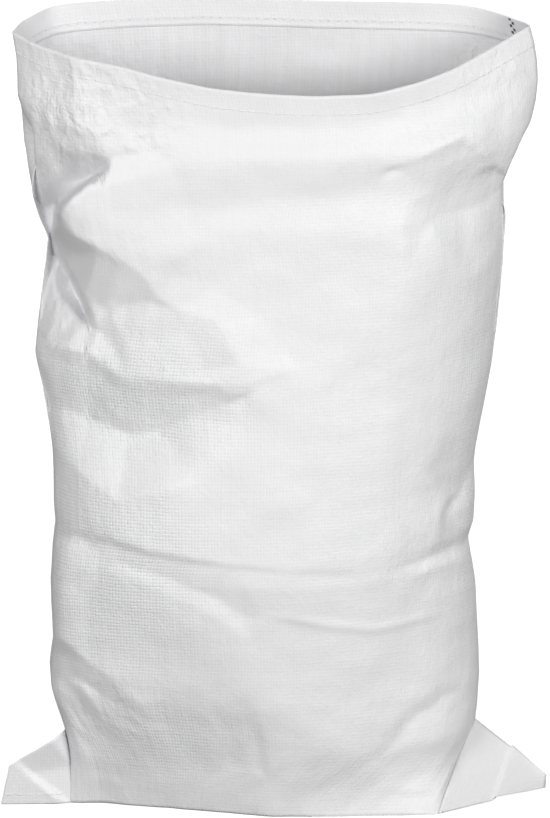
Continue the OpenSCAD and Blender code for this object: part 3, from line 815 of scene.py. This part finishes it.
# Height over a panel's outer face halfway between over and under, and how far it goes
# either way, outside and then on the hem's inner face.
OUTER_HEIGHT, OUTER_WAVE = -0.25, 0.45
INNER_HEIGHT, INNER_WAVE = HEM_FACE + 0.2, 0.42


def over_or_under(at, cell):
    """1 where a warp tape lies over the weft, and -1 where it lies under."""
    wave = np.sin(math.pi * at / TAPE_PITCH) * (1 if cell % 2 == 0 else -1)
    return np.clip(wave * MARKER_SNAP, -1, 1)


def tape_edges(cell):
    """Both edges of a coloured tape, as shares of the panel's width."""
    return [(cell * TAPE_PITCH + MARKER_GAP) / FLAT_WIDTH,
            ((cell + 1) * TAPE_PITCH - MARKER_GAP) / FLAT_WIDTH]


def marker_tape(name, cell):
    """A coloured tape up the back panel, over the rim and down inside the hem."""
    normal = outward(back, 1)
    edges = []
    for share in tape_edges(cell):
        line, out = (np.stack([line_at(row, COLUMN_SHARES, share) for row in grid])
                     for grid in (back, normal))
        edges.append((line, out, run_of(line) / MM))
    total = edges[0][2][-1]
    at = np.arange(2, total, TAPE_PITCH / MARKER_STEPS)
    height = OUTER_HEIGHT + OUTER_WAVE * over_or_under(at, cell)
    outer = np.stack([line_at(line, run, at) + line_at(out, run, at) * (height * MM)[:, None]
                      for line, out, run in edges], 1)
    at = np.arange(0.5, HEM_WIDTH - 0.5, TAPE_PITCH / MARKER_STEPS)
    height = INNER_HEIGHT - INNER_WAVE * over_or_under(at + total, cell)
    rims = [rim_line(back, 1, drop, out) for drop, out in zip(at, height)]
    inner = np.stack([np.stack([line_at(rim, COLUMN_SHARES, share) for rim in rims])
                      for share in tape_edges(cell)], 1)
    verts, faces = [], []
    for strip in (outer, inner):
        start = len(verts)
        verts += [tuple(p) for p in strip.reshape(-1, 3)]
        for r in range(len(strip) - 1):
            a = start + 2 * r
            faces.append((a, a + 2, a + 3, a + 1))
    piece = new_piece(name, verts, faces, rounded=False)
    thicken(piece, MARKER_PLY)
    return piece


tape_inner = marker_tape("marker_tape_inner_ribbon", MARKER_CELLS[0])
tape_outer = marker_tape("marker_tape_outer_ribbon", MARKER_CELLS[1])
print("coloured tapes:", len(MARKER_CELLS))

# %% [markdown]
# The base lies flat on the floor. It is the lower part of both panels, turned under and
# sewn together behind the middle. The sewn hem lies under the back ply, which steps up.

# %% The base
SEAM_Y = 4
SEAM_LEFT, SEAM_RIGHT = -205, 193
BOTTOM_HEM = 24
BOTTOM_STITCH = 10
BASE_LIFT = 0.06
OVER_HEM = 2.4
STEP_WIDTH = 3
# Section of the hem, from one free edge over the fold to the other: y from the seam, z.
HEM_SECTION = [(BOTTOM_HEM, 2.2), (BOTTOM_HEM / 2, 2.2), (0.8, 2.2), (0.15, 1.9), (0, 1.6),
               (0.15, 1.3), (0.8, 1.05), (BOTTOM_HEM / 2, 1.05), (BOTTOM_HEM, 1.05)]
# How far the hem and the threads stop short of the ends of the seam.
HEM_END, THREAD_END = 5, 14
# The looper thread lies just under the hem.
CHAIN_HEIGHT = 0.98


def base_ply(foot, rows, over_hem):
    """Cloth on the floor between a panel's lower edge and the bottom seam."""
    seam = np.zeros((len(foot), 3))
    seam[:, 0] = np.interp(COLUMN_SHARES, [0, 1], [SEAM_LEFT * MM, SEAM_RIGHT * MM])
    seam[:, 1] = SEAM_Y * MM
    shares = np.linspace(0, 1, rows + 1)[:, None, None]
    grid = foot[None] * (1 - shares) + seam[None] * shares
    hem_end = SEAM_Y + BOTTOM_HEM
    over = 1 - smooth(hem_end, hem_end + STEP_WIDTH, grid[..., 1] / MM)
    grid[..., 2] = (BASE_LIFT + over * over_hem) * MM
    return grid


def floor_rows(section, end, count=90):
    """A strip along the seam: the same section (y, z), up to an end short of the seam's."""
    x = np.linspace(SEAM_LEFT + end, SEAM_RIGHT - end, count)
    return np.array([[(a * MM, (SEAM_Y + y) * MM, z * MM) for a in x] for y, z in section])


base_front = cloth_mesh("base_front_cloth", base_ply(front[0], 24, 0), True)
base_back = cloth_mesh("base_back_cloth", base_ply(back[0], 40, OVER_HEM), False)
bottom_hem = cloth_mesh("bottom_hem_cloth", floor_rows(HEM_SECTION, HEM_END), True, None, HEM_PLY)
stitch_line = floor_rows([(BOTTOM_STITCH, BASE_LIFT + OVER_HEM + PLY)], THREAD_END)[0]
chain_line = floor_rows([(BOTTOM_STITCH, CHAIN_HEIGHT)], THREAD_END)[0]
straight_up = np.tile([0, 0, 1.0], (len(stitch_line), 1))
bottom_needle = tube_mesh("bottom_needle_stitches", needle_stitches(stitch_line, straight_up),
                          THREAD_RADIUS)
bottom_looper = tube_mesh("bottom_looper_chain",
                          looper_chain(chain_line, -0.5 * straight_up, (0, 1, 0)),
                          LOOPER_RADIUS, 5)
print("bottom stitches:", stitch_count(stitch_line))

# %% [markdown]
# An ear is a corner of the flat sack that the base leaves free. Its two plies start at the
# side crease. The left ear stands as a flap with one bend. The right ear's front ply
# flares out to the front edge of the base, so it stands like half a tent.

# %% The ears
# Outer edge of each ear, from its lower to its upper end.
LEFT_TIP = [(-275, 0, 0.3), (-267, 0, 40)]
RIGHT_TIP = [(272, -3, 3), (273, -1, 16)]
EAR_HEM = 24
EAR_STITCH = 10
# Columns that the threads run over.
EAR_THREADS = slice(3, -1)
EAR_ROWS, EAR_COLUMNS = 30, 34
# Gap between the left ear's plies, and between the right one's.
LEFT_GAP, RIGHT_GAP = 0.75, 0.8
# Rise of the right ear's outer half, and rows of the strip on the floor between its plies.
RIGHT_RISE = 3
UNDER_ROWS = 12
# Section of the hem behind an ear: height over the lower edge, and out of the ply.
EAR_HEM_SECTION = [(0.0, -0.75), (0.4, -1.35)] + [(h, -1.45) for h in np.linspace(2, EAR_HEM, 8)]
# How far behind the back ply the looper thread lies.
EAR_CHAIN = -1.6
# Bend of the left ear: across, up and how far it stands forward.
EAR_FOLDS = {
    "floor": [(-285, -18, 0), (-273, -9, 0), (-221, -9, 4), (-200, -9, 0), (-180, -18, 0)],
    "edge of the crease": [(-265, 40, 2), (-245, 21, 4), (-221, 2, 6)],
    "foot of the crease": [(-262, 42, 2), (-242, 25, 0), (-218, 6, 0)],
    "end of the crease": [(-221, 2, 6), (-221, -9, 4)],
    "upper edge": [(-285, 37, 2), (-265, 40, 2), (-267, 52, 9), (-229, 67, 14), (-212, 75, 6)],
    "root": [(-212, 75, 6), (-211, 69, 3), (-202, 32, 0), (-200, -9, 0)],
}


def crease_line(grid, column, height):
    """The part of a side crease below a height, from the floor up."""
    line = grid[:, column]
    return line_at(line, line[:, 2], np.linspace(0, height * MM, EAR_ROWS + 1))


def flap(root, tip):
    """A grid between a root line and an outer edge, both from the floor up."""
    low, high = np.array(tip) * MM
    rows = np.linspace(0, 1, len(root))[:, None]
    outer = low * (1 - rows) + high * rows
    shares = np.linspace(0, 1, EAR_COLUMNS + 1)[None, :, None]
    return root[:, None] * (1 - shares) + outer[:, None] * shares


def flap_normal(grid):
    """Unit normals of a flap, all towards the front."""
    normal = unit(np.cross(np.gradient(grid, axis=1), np.gradient(grid, axis=0)))
    return normal * np.where(normal[..., 1:2] > 0, -1, 1)


def row_at(grid, normal, height, out):
    """A line along a flap at a height above its lower edge, moved out of its face (mm)."""
    line = np.zeros((grid.shape[1], 3))
    for c in range(grid.shape[1]):
        run = run_of(grid[:, c])
        at = min(height * MM, 0.9 * run[-1])
        line[c] = line_at(grid[:, c], run, at) + line_at(normal[:, c], run, at) * out * MM
    return line


def ear_pieces(side_name, face, behind, stitched, flip):
    """Both plies, the hem behind them, and the stitches, from the two plies' grids."""
    front_ply = cloth_mesh(side_name + "_ear_front_cloth", face, flip)
    back_ply = cloth_mesh(side_name + "_ear_back_cloth", behind, not flip)
    back_out = flap_normal(behind)
    hem = np.array([row_at(behind, back_out, *place) for place in EAR_HEM_SECTION])
    hem_cloth = cloth_mesh(side_name + "_ear_hem_cloth", hem[:, 2:], not flip, None, HEM_PLY)
    face_out = flap_normal(stitched)
    line = row_at(stitched, face_out, EAR_STITCH, ON_FACE)[EAR_THREADS]
    out = unit(row_at(stitched, face_out, EAR_STITCH, ON_FACE + 1)[EAR_THREADS] - line)
    chain = row_at(behind, back_out, EAR_STITCH, EAR_CHAIN)[EAR_THREADS]
    needle = tube_mesh(side_name + "_ear_needle_stitches", needle_stitches(line, out),
                       THREAD_RADIUS)
    looper = tube_mesh(side_name + "_ear_looper_chain", looper_chain(chain, -out, UP),
                       THREAD_RADIUS * 0.8, 5)
    return {"front_ply": front_ply, "back_ply": back_ply, "hem": hem_cloth,
            "needle_thread": needle, "looper_thread": looper}


left_face = flap(crease_line(front, 0, EAR_TOP), LEFT_TIP)
bend = blur(facets(EAR_FOLDS, [], *in_view(left_face)), 1)
bend[:, 0] = 0
left_face = left_face + bend[..., None] * MM * np.array([0, -1.0, 0.02])
left_behind = left_face - flap_normal(left_face) * LEFT_GAP * MM
left_ear = ear_pieces("left", left_face, left_behind, left_face, True)

right_face = flap(crease_line(front, -1, EAR_TOP), RIGHT_TIP)
shares = np.linspace(0, 1, EAR_COLUMNS + 1)
right_face[..., 2] += RIGHT_RISE * MM * np.sin(math.pi * shares) ** 2 * (shares > 0.5)
right_behind = flap(crease_line(back, -1, EAR_TOP), RIGHT_TIP)
right_behind[..., 1] += RIGHT_GAP * MM
under = np.linspace(1, 0, UNDER_ROWS, endpoint=False)[:, None, None]
right_floor = right_behind[0][None] * under + right_face[0][None] * (1 - under)
right_face = np.concatenate([right_floor, right_face])
right_ear = ear_pieces("right", right_face, right_behind, right_behind, False)
print("ears:", len(left_ear) + len(right_ear), "pieces")

# %% [markdown]
# The fine relief is too small for the mesh. It comes from node groups that work in metres
# on the flat cloth, so the weave follows the cloth around every fold.


# %% Node helpers
def add_node(tree, kind, sockets=(), **settings):
    """A node with its settings, and with its sockets set or linked."""
    made = tree.nodes.new(kind)
    for name, value in settings.items():
        setattr(made, name, value)
    for key, value in dict(sockets).items():
        if isinstance(value, bpy.types.NodeSocket):
            tree.links.new(value, made.inputs[key])
        else:
            made.inputs[key].default_value = value
    return made


def math_node(tree, operation, *values):
    """The result of one calculation."""
    return add_node(tree, "ShaderNodeMath", enumerate(values), operation=operation).outputs[0]


def times(tree, *values):
    """The product of two values."""
    return math_node(tree, "MULTIPLY", *values)


def plus(tree, *values):
    """The sum of two values."""
    return math_node(tree, "ADD", *values)


def noise_node(tree, place, size, kind="FBM", detail=2.0):
    """Noise whose features are about as wide as size (metres), between about 0 and 1."""
    return add_node(tree, "ShaderNodeTexNoise",
                    {"Vector": place, "Scale": 1 / size, "Detail": detail},
                    noise_type=kind, normalize=True).outputs[0]


def stretched(tree, place, across, up):
    """A place with its two directions scaled, for noise that is longer one way."""
    return add_node(tree, "ShaderNodeVectorMath", {0: place, 1: (across, up, 1)},
                    operation="MULTIPLY").outputs[0]


def bump(tree, height, distance, strength=1.0, **over):
    """Normals of a relief, which may lie over the normals of another one."""
    return add_node(tree, "ShaderNodeBump", {"Height": height, "Distance": distance,
                                             "Strength": strength, **over}).outputs[0]


def new_group(name, **sockets):
    """A node group's tree, its input node and its output node."""
    tree = bpy.data.node_groups.new(name, "ShaderNodeTree")
    for socket, (way, kind) in sockets.items():
        tree.interface.new_socket(socket, in_out=way, socket_type="NodeSocket" + kind)
    return tree, tree.nodes.new("NodeGroupInput"), tree.nodes.new("NodeGroupOutput")


# %% [markdown]
# In a plain weave every tape goes over one and under the next. Along each direction a
# sine changes its sign at every tape, and the sign of the two sines' product says which
# tape is on top. Each tape is a low arch. Some stand a little prouder than others, and
# none of them has quite the same shade as the next.

# %% Weave
# Size of the waves in the tapes' courses (metres), and their height in tapes.
WANDER_SIZE, WANDER = 0.030, 0.7
# How flat a tape's arch is, how steep its edges are, and how soft the change of tapes.
CROWN, EDGE, CHANGE = 0.9, 1.6, 0.12
# Least height of a crossing and its range, and how unlike each other the tapes are.
PROUD, PROUD_RANGE = 0.6, 0.6
WARP_SHARE, WEFT_SHARE = 0.5, 0.2
WARP_TINT, WEFT_TINT = 0.006, 0.004


def weave_group():
    """Height and tint of a plain weave of flat tapes, from the place on the flat cloth."""
    tree, start, end = new_group("plain weave", Place=("INPUT", "Vector"),
                                 Height=("OUTPUT", "Float"), Tint=("OUTPUT", "Float"))
    place = start.outputs["Place"]
    split = add_node(tree, "ShaderNodeSeparateXYZ", {0: place})
    wander = times(tree, noise_node(tree, place, WANDER_SIZE), WANDER)
    wave, arch, number, tape = [], [], [], []
    for axis in "XY":
        pitch = math_node(tree, "DIVIDE", split.outputs[axis], TAPE_PITCH * MM)
        at = plus(tree, pitch, wander)
        wave.append(math_node(tree, "SINE", times(tree, at, math.pi)))
        arch.append(math_node(tree, "ABSOLUTE", wave[-1]))
        number.append(math_node(tree, "FLOOR", at))
        tape.append(add_node(tree, "ShaderNodeTexWhiteNoise", {"W": number[-1]},
                             noise_dimensions="1D").outputs["Value"])
    cell_name = add_node(tree, "ShaderNodeCombineXYZ", {0: number[0], 1: number[1]}).outputs[0]
    luck = add_node(tree, "ShaderNodeTexWhiteNoise", {"Vector": cell_name},
                    noise_dimensions="2D").outputs["Value"]
    proud = plus(tree, PROUD, times(tree, luck, PROUD_RANGE))
    warp_on_top = add_node(tree, "ShaderNodeMapRange",
                           {0: times(tree, *wave), 1: -CHANGE, 2: CHANGE},
                           interpolation_type="SMOOTHSTEP").outputs[0]
    cells = []
    for top, side in ((1, 0), (0, 1)):
        crown = math_node(tree, "POWER", arch[top], CROWN)
        edge = math_node(tree, "MINIMUM", times(tree, arch[side], EDGE), 1.0)
        cells.append(times(tree, times(tree, crown, edge), proud))
    cell = add_node(tree, "ShaderNodeMix", {0: warp_on_top, 2: cells[1], 3: cells[0]})
    uneven = plus(tree, times(tree, tape[0], WARP_SHARE), times(tree, tape[1], WEFT_SHARE))
    tree.links.new(plus(tree, cell.outputs[0], uneven), end.inputs["Height"])
    tint = plus(tree, times(tree, tape[0], WARP_TINT), times(tree, tape[1], WEFT_TINT))
    tree.links.new(math_node(tree, "SUBTRACT", 1.0, tint), end.inputs["Tint"])
    return tree


WEAVE = weave_group()
print("weave:", len(WEAVE.nodes), "nodes")

# %% [markdown]
# Gripped cloth keeps fine creases. They are ridged noise on a place that is itself bent
# by noise, so they run in all directions and never in rows.

# %% Fine crumples
# Scale and strength of the bending noise, and sizes of the others (metres).
BEND_SCALE, BEND = 70.0, (0.012, 0.012, 0.0)
FINE_SIZE, COARSE_SIZE, PATCH_SIZE = 0.006, 0.016, 0.060
# Share of the fine crumples outside the zones, and height of the coarse ones.
FINE_EVERYWHERE = 0.25
COARSE_HEIGHT = 7.0


def crumple_group():
    """Height of small sharp crumples: a fine one everywhere, a coarser one by amount."""
    tree, start, end = new_group("crumples", Place=("INPUT", "Vector"),
                                 Amount=("INPUT", "Float"), Height=("OUTPUT", "Float"))
    place, amount = start.outputs["Place"], start.outputs["Amount"]
    noisy = add_node(tree, "ShaderNodeTexNoise", {"Vector": place, "Scale": BEND_SCALE})
    bend = add_node(tree, "ShaderNodeVectorMath", {0: noisy.outputs["Color"], 1: BEND},
                    operation="MULTIPLY").outputs[0]
    bent = add_node(tree, "ShaderNodeVectorMath", {0: place, 1: bend}).outputs[0]
    fine = noise_node(tree, stretched(tree, bent, 1.3, 0.8), FINE_SIZE, detail=1.5)
    coarse = noise_node(tree, stretched(tree, bent, 1.2, 0.8), COARSE_SIZE,
                        kind="RIDGED_MULTIFRACTAL", detail=2.5)
    patchy = noise_node(tree, place, PATCH_SIZE)
    fine = times(tree, fine, plus(tree, FINE_EVERYWHERE, amount))
    coarse = times(tree, coarse, times(tree, amount, patchy))
    tree.links.new(plus(tree, fine, times(tree, coarse, COARSE_HEIGHT)), end.inputs["Height"])
    return tree


CRUMPLES = crumple_group()
print("crumples:", len(CRUMPLES.nodes), "nodes")

# %% [markdown]
# Drawn polypropylene is smooth and slightly glossy. The inside of the panels shows its
# light and dark tapes more strongly than the outside, and is painted a little darker as
# shade. The thread is spun and dull, with painted shade in the grooves of its twist, and
# the coloured tapes are dark.

# %% Materials
CLOTH_ROUGHNESS, THREAD_ROUGHNESS, MARKER_ROUGHNESS = 0.45, 0.7, 0.38
# Depth of each relief and width of the streaks (metres). Streaks are drawn out upwards.
CRUMPLE_DEPTH, WEAVE_DEPTH = 0.0011, 0.0005
STREAK_SIZE, STREAK_STRETCH = 0.007, 0.06
# The thread's twist: its scale, its bump depth, and how much painted shade darkens its grooves.
TWIST_SCALE, TWIST_DEPTH, TWIST_GROOVE_SHADE = 900.0, 0.0002, 0.12
GRAIN_SIZE, GRAIN_DEPTH, DYE_PATCH_SIZE = 0.0012, 0.0001, 0.020


def new_material(name, roughness):
    """A material with its node tree and its main shader."""
    material = bpy.data.materials.new(name)
    material.use_nodes = True
    shader = material.node_tree.nodes["Principled BSDF"]
    shader.inputs["Roughness"].default_value = roughness
    return material, material.node_tree, shader


def paint(tree, shader, colour, shade, normal):
    """Give a shader a colour that a shade darkens, and the normals of its relief."""
    tinted = add_node(tree, "ShaderNodeVectorMath", {0: colour, "Scale": shade},
                      operation="SCALE").outputs[0]
    tree.links.new(tinted, shader.inputs["Base Color"])
    tree.links.new(normal, shader.inputs["Normal"])


def cloth_material(name, colour, streaky):
    """Woven cloth with its weave, crumples and streaks along the warp."""
    material, tree, shader = new_material(name, CLOTH_ROUGHNESS)
    place = add_node(tree, "ShaderNodeUVMap", uv_map="cloth").outputs["UV"]
    amount, loose = (add_node(tree, "ShaderNodeAttribute", attribute_name=part).outputs["Fac"]
                     for part in ("crumpled", "loose"))
    weave = add_node(tree, "ShaderNodeGroup", node_tree=WEAVE)
    crumples = add_node(tree, "ShaderNodeGroup", node_tree=CRUMPLES)
    tree.links.new(place, weave.inputs["Place"])
    tree.links.new(place, crumples.inputs["Place"])
    tree.links.new(amount, crumples.inputs["Amount"])
    first = bump(tree, crumples.outputs["Height"], CRUMPLE_DEPTH)
    second = bump(tree, times(tree, weave.outputs["Height"], loose), WEAVE_DEPTH, Normal=first)
    streaks = noise_node(tree, stretched(tree, place, 1.0, STREAK_STRETCH), STREAK_SIZE)
    streaks = times(tree, math_node(tree, "SUBTRACT", streaks, 0.5), streaky)
    paint(tree, shader, colour, plus(tree, weave.outputs["Tint"], streaks), second)
    return material


def thread_material(name, colour):
    """Twisted spun thread: fine slanted bands, with painted shade in the grooves of the twist."""
    material, tree, shader = new_material(name, THREAD_ROUGHNESS)
    place = add_node(tree, "ShaderNodeTexCoord").outputs["Object"]
    twist = add_node(tree, "ShaderNodeTexWave",
                     {"Vector": place, "Scale": TWIST_SCALE, "Distortion": 2.0, "Detail": 1.0},
                     bands_direction="DIAGONAL").outputs["Fac"]
    # Painted shade: the colour is darker where the twist's bump is low, in its grooves.
    shade = plus(tree, 1 - TWIST_GROOVE_SHADE, times(tree, twist, TWIST_GROOVE_SHADE))
    paint(tree, shader, colour, shade, bump(tree, twist, TWIST_DEPTH, 0.6))
    return material


def marker_material(name, colour):
    """A dyed tape with fine grain and slightly lighter and darker patches."""
    material, tree, shader = new_material(name, MARKER_ROUGHNESS)
    place = add_node(tree, "ShaderNodeTexCoord").outputs["Object"]
    grain = noise_node(tree, place, GRAIN_SIZE)
    patches = noise_node(tree, place, DYE_PATCH_SIZE)
    shade = plus(tree, times(tree, grain, 0.7), times(tree, patches, 0.6))
    paint(tree, shader, colour, shade, bump(tree, grain, GRAIN_DEPTH, 0.4))
    return material


WOVEN = cloth_material("woven_cloth", (0.90, 0.90, 0.91), 0.02)
# The inside copy is a little darker than the outside one: painted shade for the inside of the sack.
WOVEN_INSIDE_SHADED = cloth_material("woven_cloth_inside_shaded", (0.86, 0.86, 0.87), 0.11)
THREAD = thread_material("sewing_thread", (0.92, 0.92, 0.90))
MARKER = marker_material("marker_tape", (0.16, 0.07, 0.11))
print("materials:", len(bpy.data.materials))

# %% [markdown]
# Every piece stands for one node of the frame. The panels, the base and the threads ride
# on the sack. An ear's pieces keep their place and are attached to no body.

# %% What each piece is and follows
LEFT_ROOT, RIGHT_ROOT = (-206, 0, 0), (197, 0, 0)


def dress(piece, node, material):
    """Give a piece its material, attach it to the sack, and hide the CAD node it stands for."""
    piece.data.materials.append(material)
    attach(piece, "sack")
    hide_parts(node)


def line_inside(piece):
    """The inner shell of a thickened panel is painted darker as shade and shows light and dark tapes
    more strongly.
    """
    piece.data.materials.append(WOVEN_INSIDE_SHADED)
    for polygon in piece.data.polygons[ROWS * COLUMNS:2 * ROWS * COLUMNS]:
        polygon.material_index = 1


for piece, node in ((front_cloth, "front_panel"), (back_cloth, "back_panel"),
                    (hem_front, "mouth_hem_front"), (hem_back, "mouth_hem_back"),
                    (base_front, "base_front"), (base_back, "base_back"),
                    (bottom_hem, "bottom_hem")):
    dress(piece, node, WOVEN)
for piece in (front_cloth, back_cloth):
    line_inside(piece)
for piece, node in ((mouth_needle, "mouth_needle_thread"), (mouth_looper, "mouth_looper_thread"),
                    (bottom_needle, "bottom_needle_thread"),
                    (bottom_looper, "bottom_looper_thread")):
    dress(piece, node, THREAD)
dress(tape_outer, "marker_tape_outer", MARKER)
dress(tape_inner, "marker_tape_inner", MARKER)

for side, ear, root in ((-1, left_ear, LEFT_ROOT), (1, right_ear, RIGHT_ROOT)):
    body = "left_ear" if side < 0 else "right_ear"
    for part, piece in ear.items():
        cloth = "thread" not in part
        piece.data.materials.append(WOVEN if cloth else THREAD)
        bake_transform(piece)
        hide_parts(body + "_" + part)

# %% [markdown]

# %% [markdown]
# The stage is a studio: a pale floor that reaches past the picture, a white dome, two
# large lamps in front at either side and a weaker one behind. The floor glows for the
# camera alone, so that it looks white without lighting the sack.

# %% Stage and light
FLOOR_SIZE, FLOOR_GREY, FLOOR_GLOW = 30, 0.2, 0.94
DOME_LEVEL = 0.27
LAMP_AIM = Vector((0, 0, 0.4))


def stage_plane(name):
    """A floor that the camera sees nearly white."""
    bpy.ops.mesh.primitive_plane_add(size=FLOOR_SIZE)
    plane = bpy.context.object
    plane.name = name
    material, tree, shader = new_material(name, 0.9)
    shader.inputs["Base Color"].default_value = (FLOOR_GREY, FLOOR_GREY, FLOOR_GREY, 1)
    ray = tree.nodes.new("ShaderNodeLightPath")
    glow = add_node(tree, "ShaderNodeEmission",
                    {"Strength": times(tree, ray.outputs["Is Camera Ray"], FLOOR_GLOW)})
    both = add_node(tree, "ShaderNodeAddShader", {0: shader.outputs[0], 1: glow.outputs[0]})
    tree.links.new(both.outputs[0], tree.nodes["Material Output"].inputs[0])
    plane.data.materials.append(material)


def studio_world():
    """A dome that lights softly, and looks white where it is seen or mirrored."""
    world = bpy.data.worlds.new("studio")
    bpy.context.scene.world = world
    world.use_nodes = True
    tree = world.node_tree
    dome = tree.nodes["Background"]
    dome.inputs["Color"].default_value = (1, 1, 1, 1)
    dome.inputs["Strength"].default_value = DOME_LEVEL
    white = add_node(tree, "ShaderNodeBackground", {"Strength": 1})
    ray = tree.nodes.new("ShaderNodeLightPath")
    mirrored = math_node(tree, "MAXIMUM", ray.outputs["Is Glossy Ray"],
                         ray.outputs["Is Transmission Ray"])
    visible = math_node(tree, "MAXIMUM", ray.outputs["Is Camera Ray"], mirrored)
    mix = add_node(tree, "ShaderNodeMixShader",
                   {0: visible, 1: dome.outputs[0], 2: white.outputs[0]})
    tree.links.new(mix.outputs[0], tree.nodes["World Output"].inputs[0])


def lamp(name, place, size, power):
    """A square lamp that faces the middle of the sack."""
    bpy.ops.object.light_add(type="AREA", location=place)
    light = bpy.context.object
    light.name = name
    light.data.size = size
    light.data.energy = power
    light.rotation_euler = (Vector(place) - LAMP_AIM).to_track_quat("Z", "Y").to_euler()


stage_plane("floor")
studio_world()
lamp("key left", (-2.0, -3.0, 1.5), 1.4, 57)
lamp("fill behind", (0.6, 3.2, 1.2), 2.2, 34)
lamp("key right", (2.0, -3.0, 1.5), 1.4, 63)
bpy.context.scene.view_settings.view_transform = "Standard"
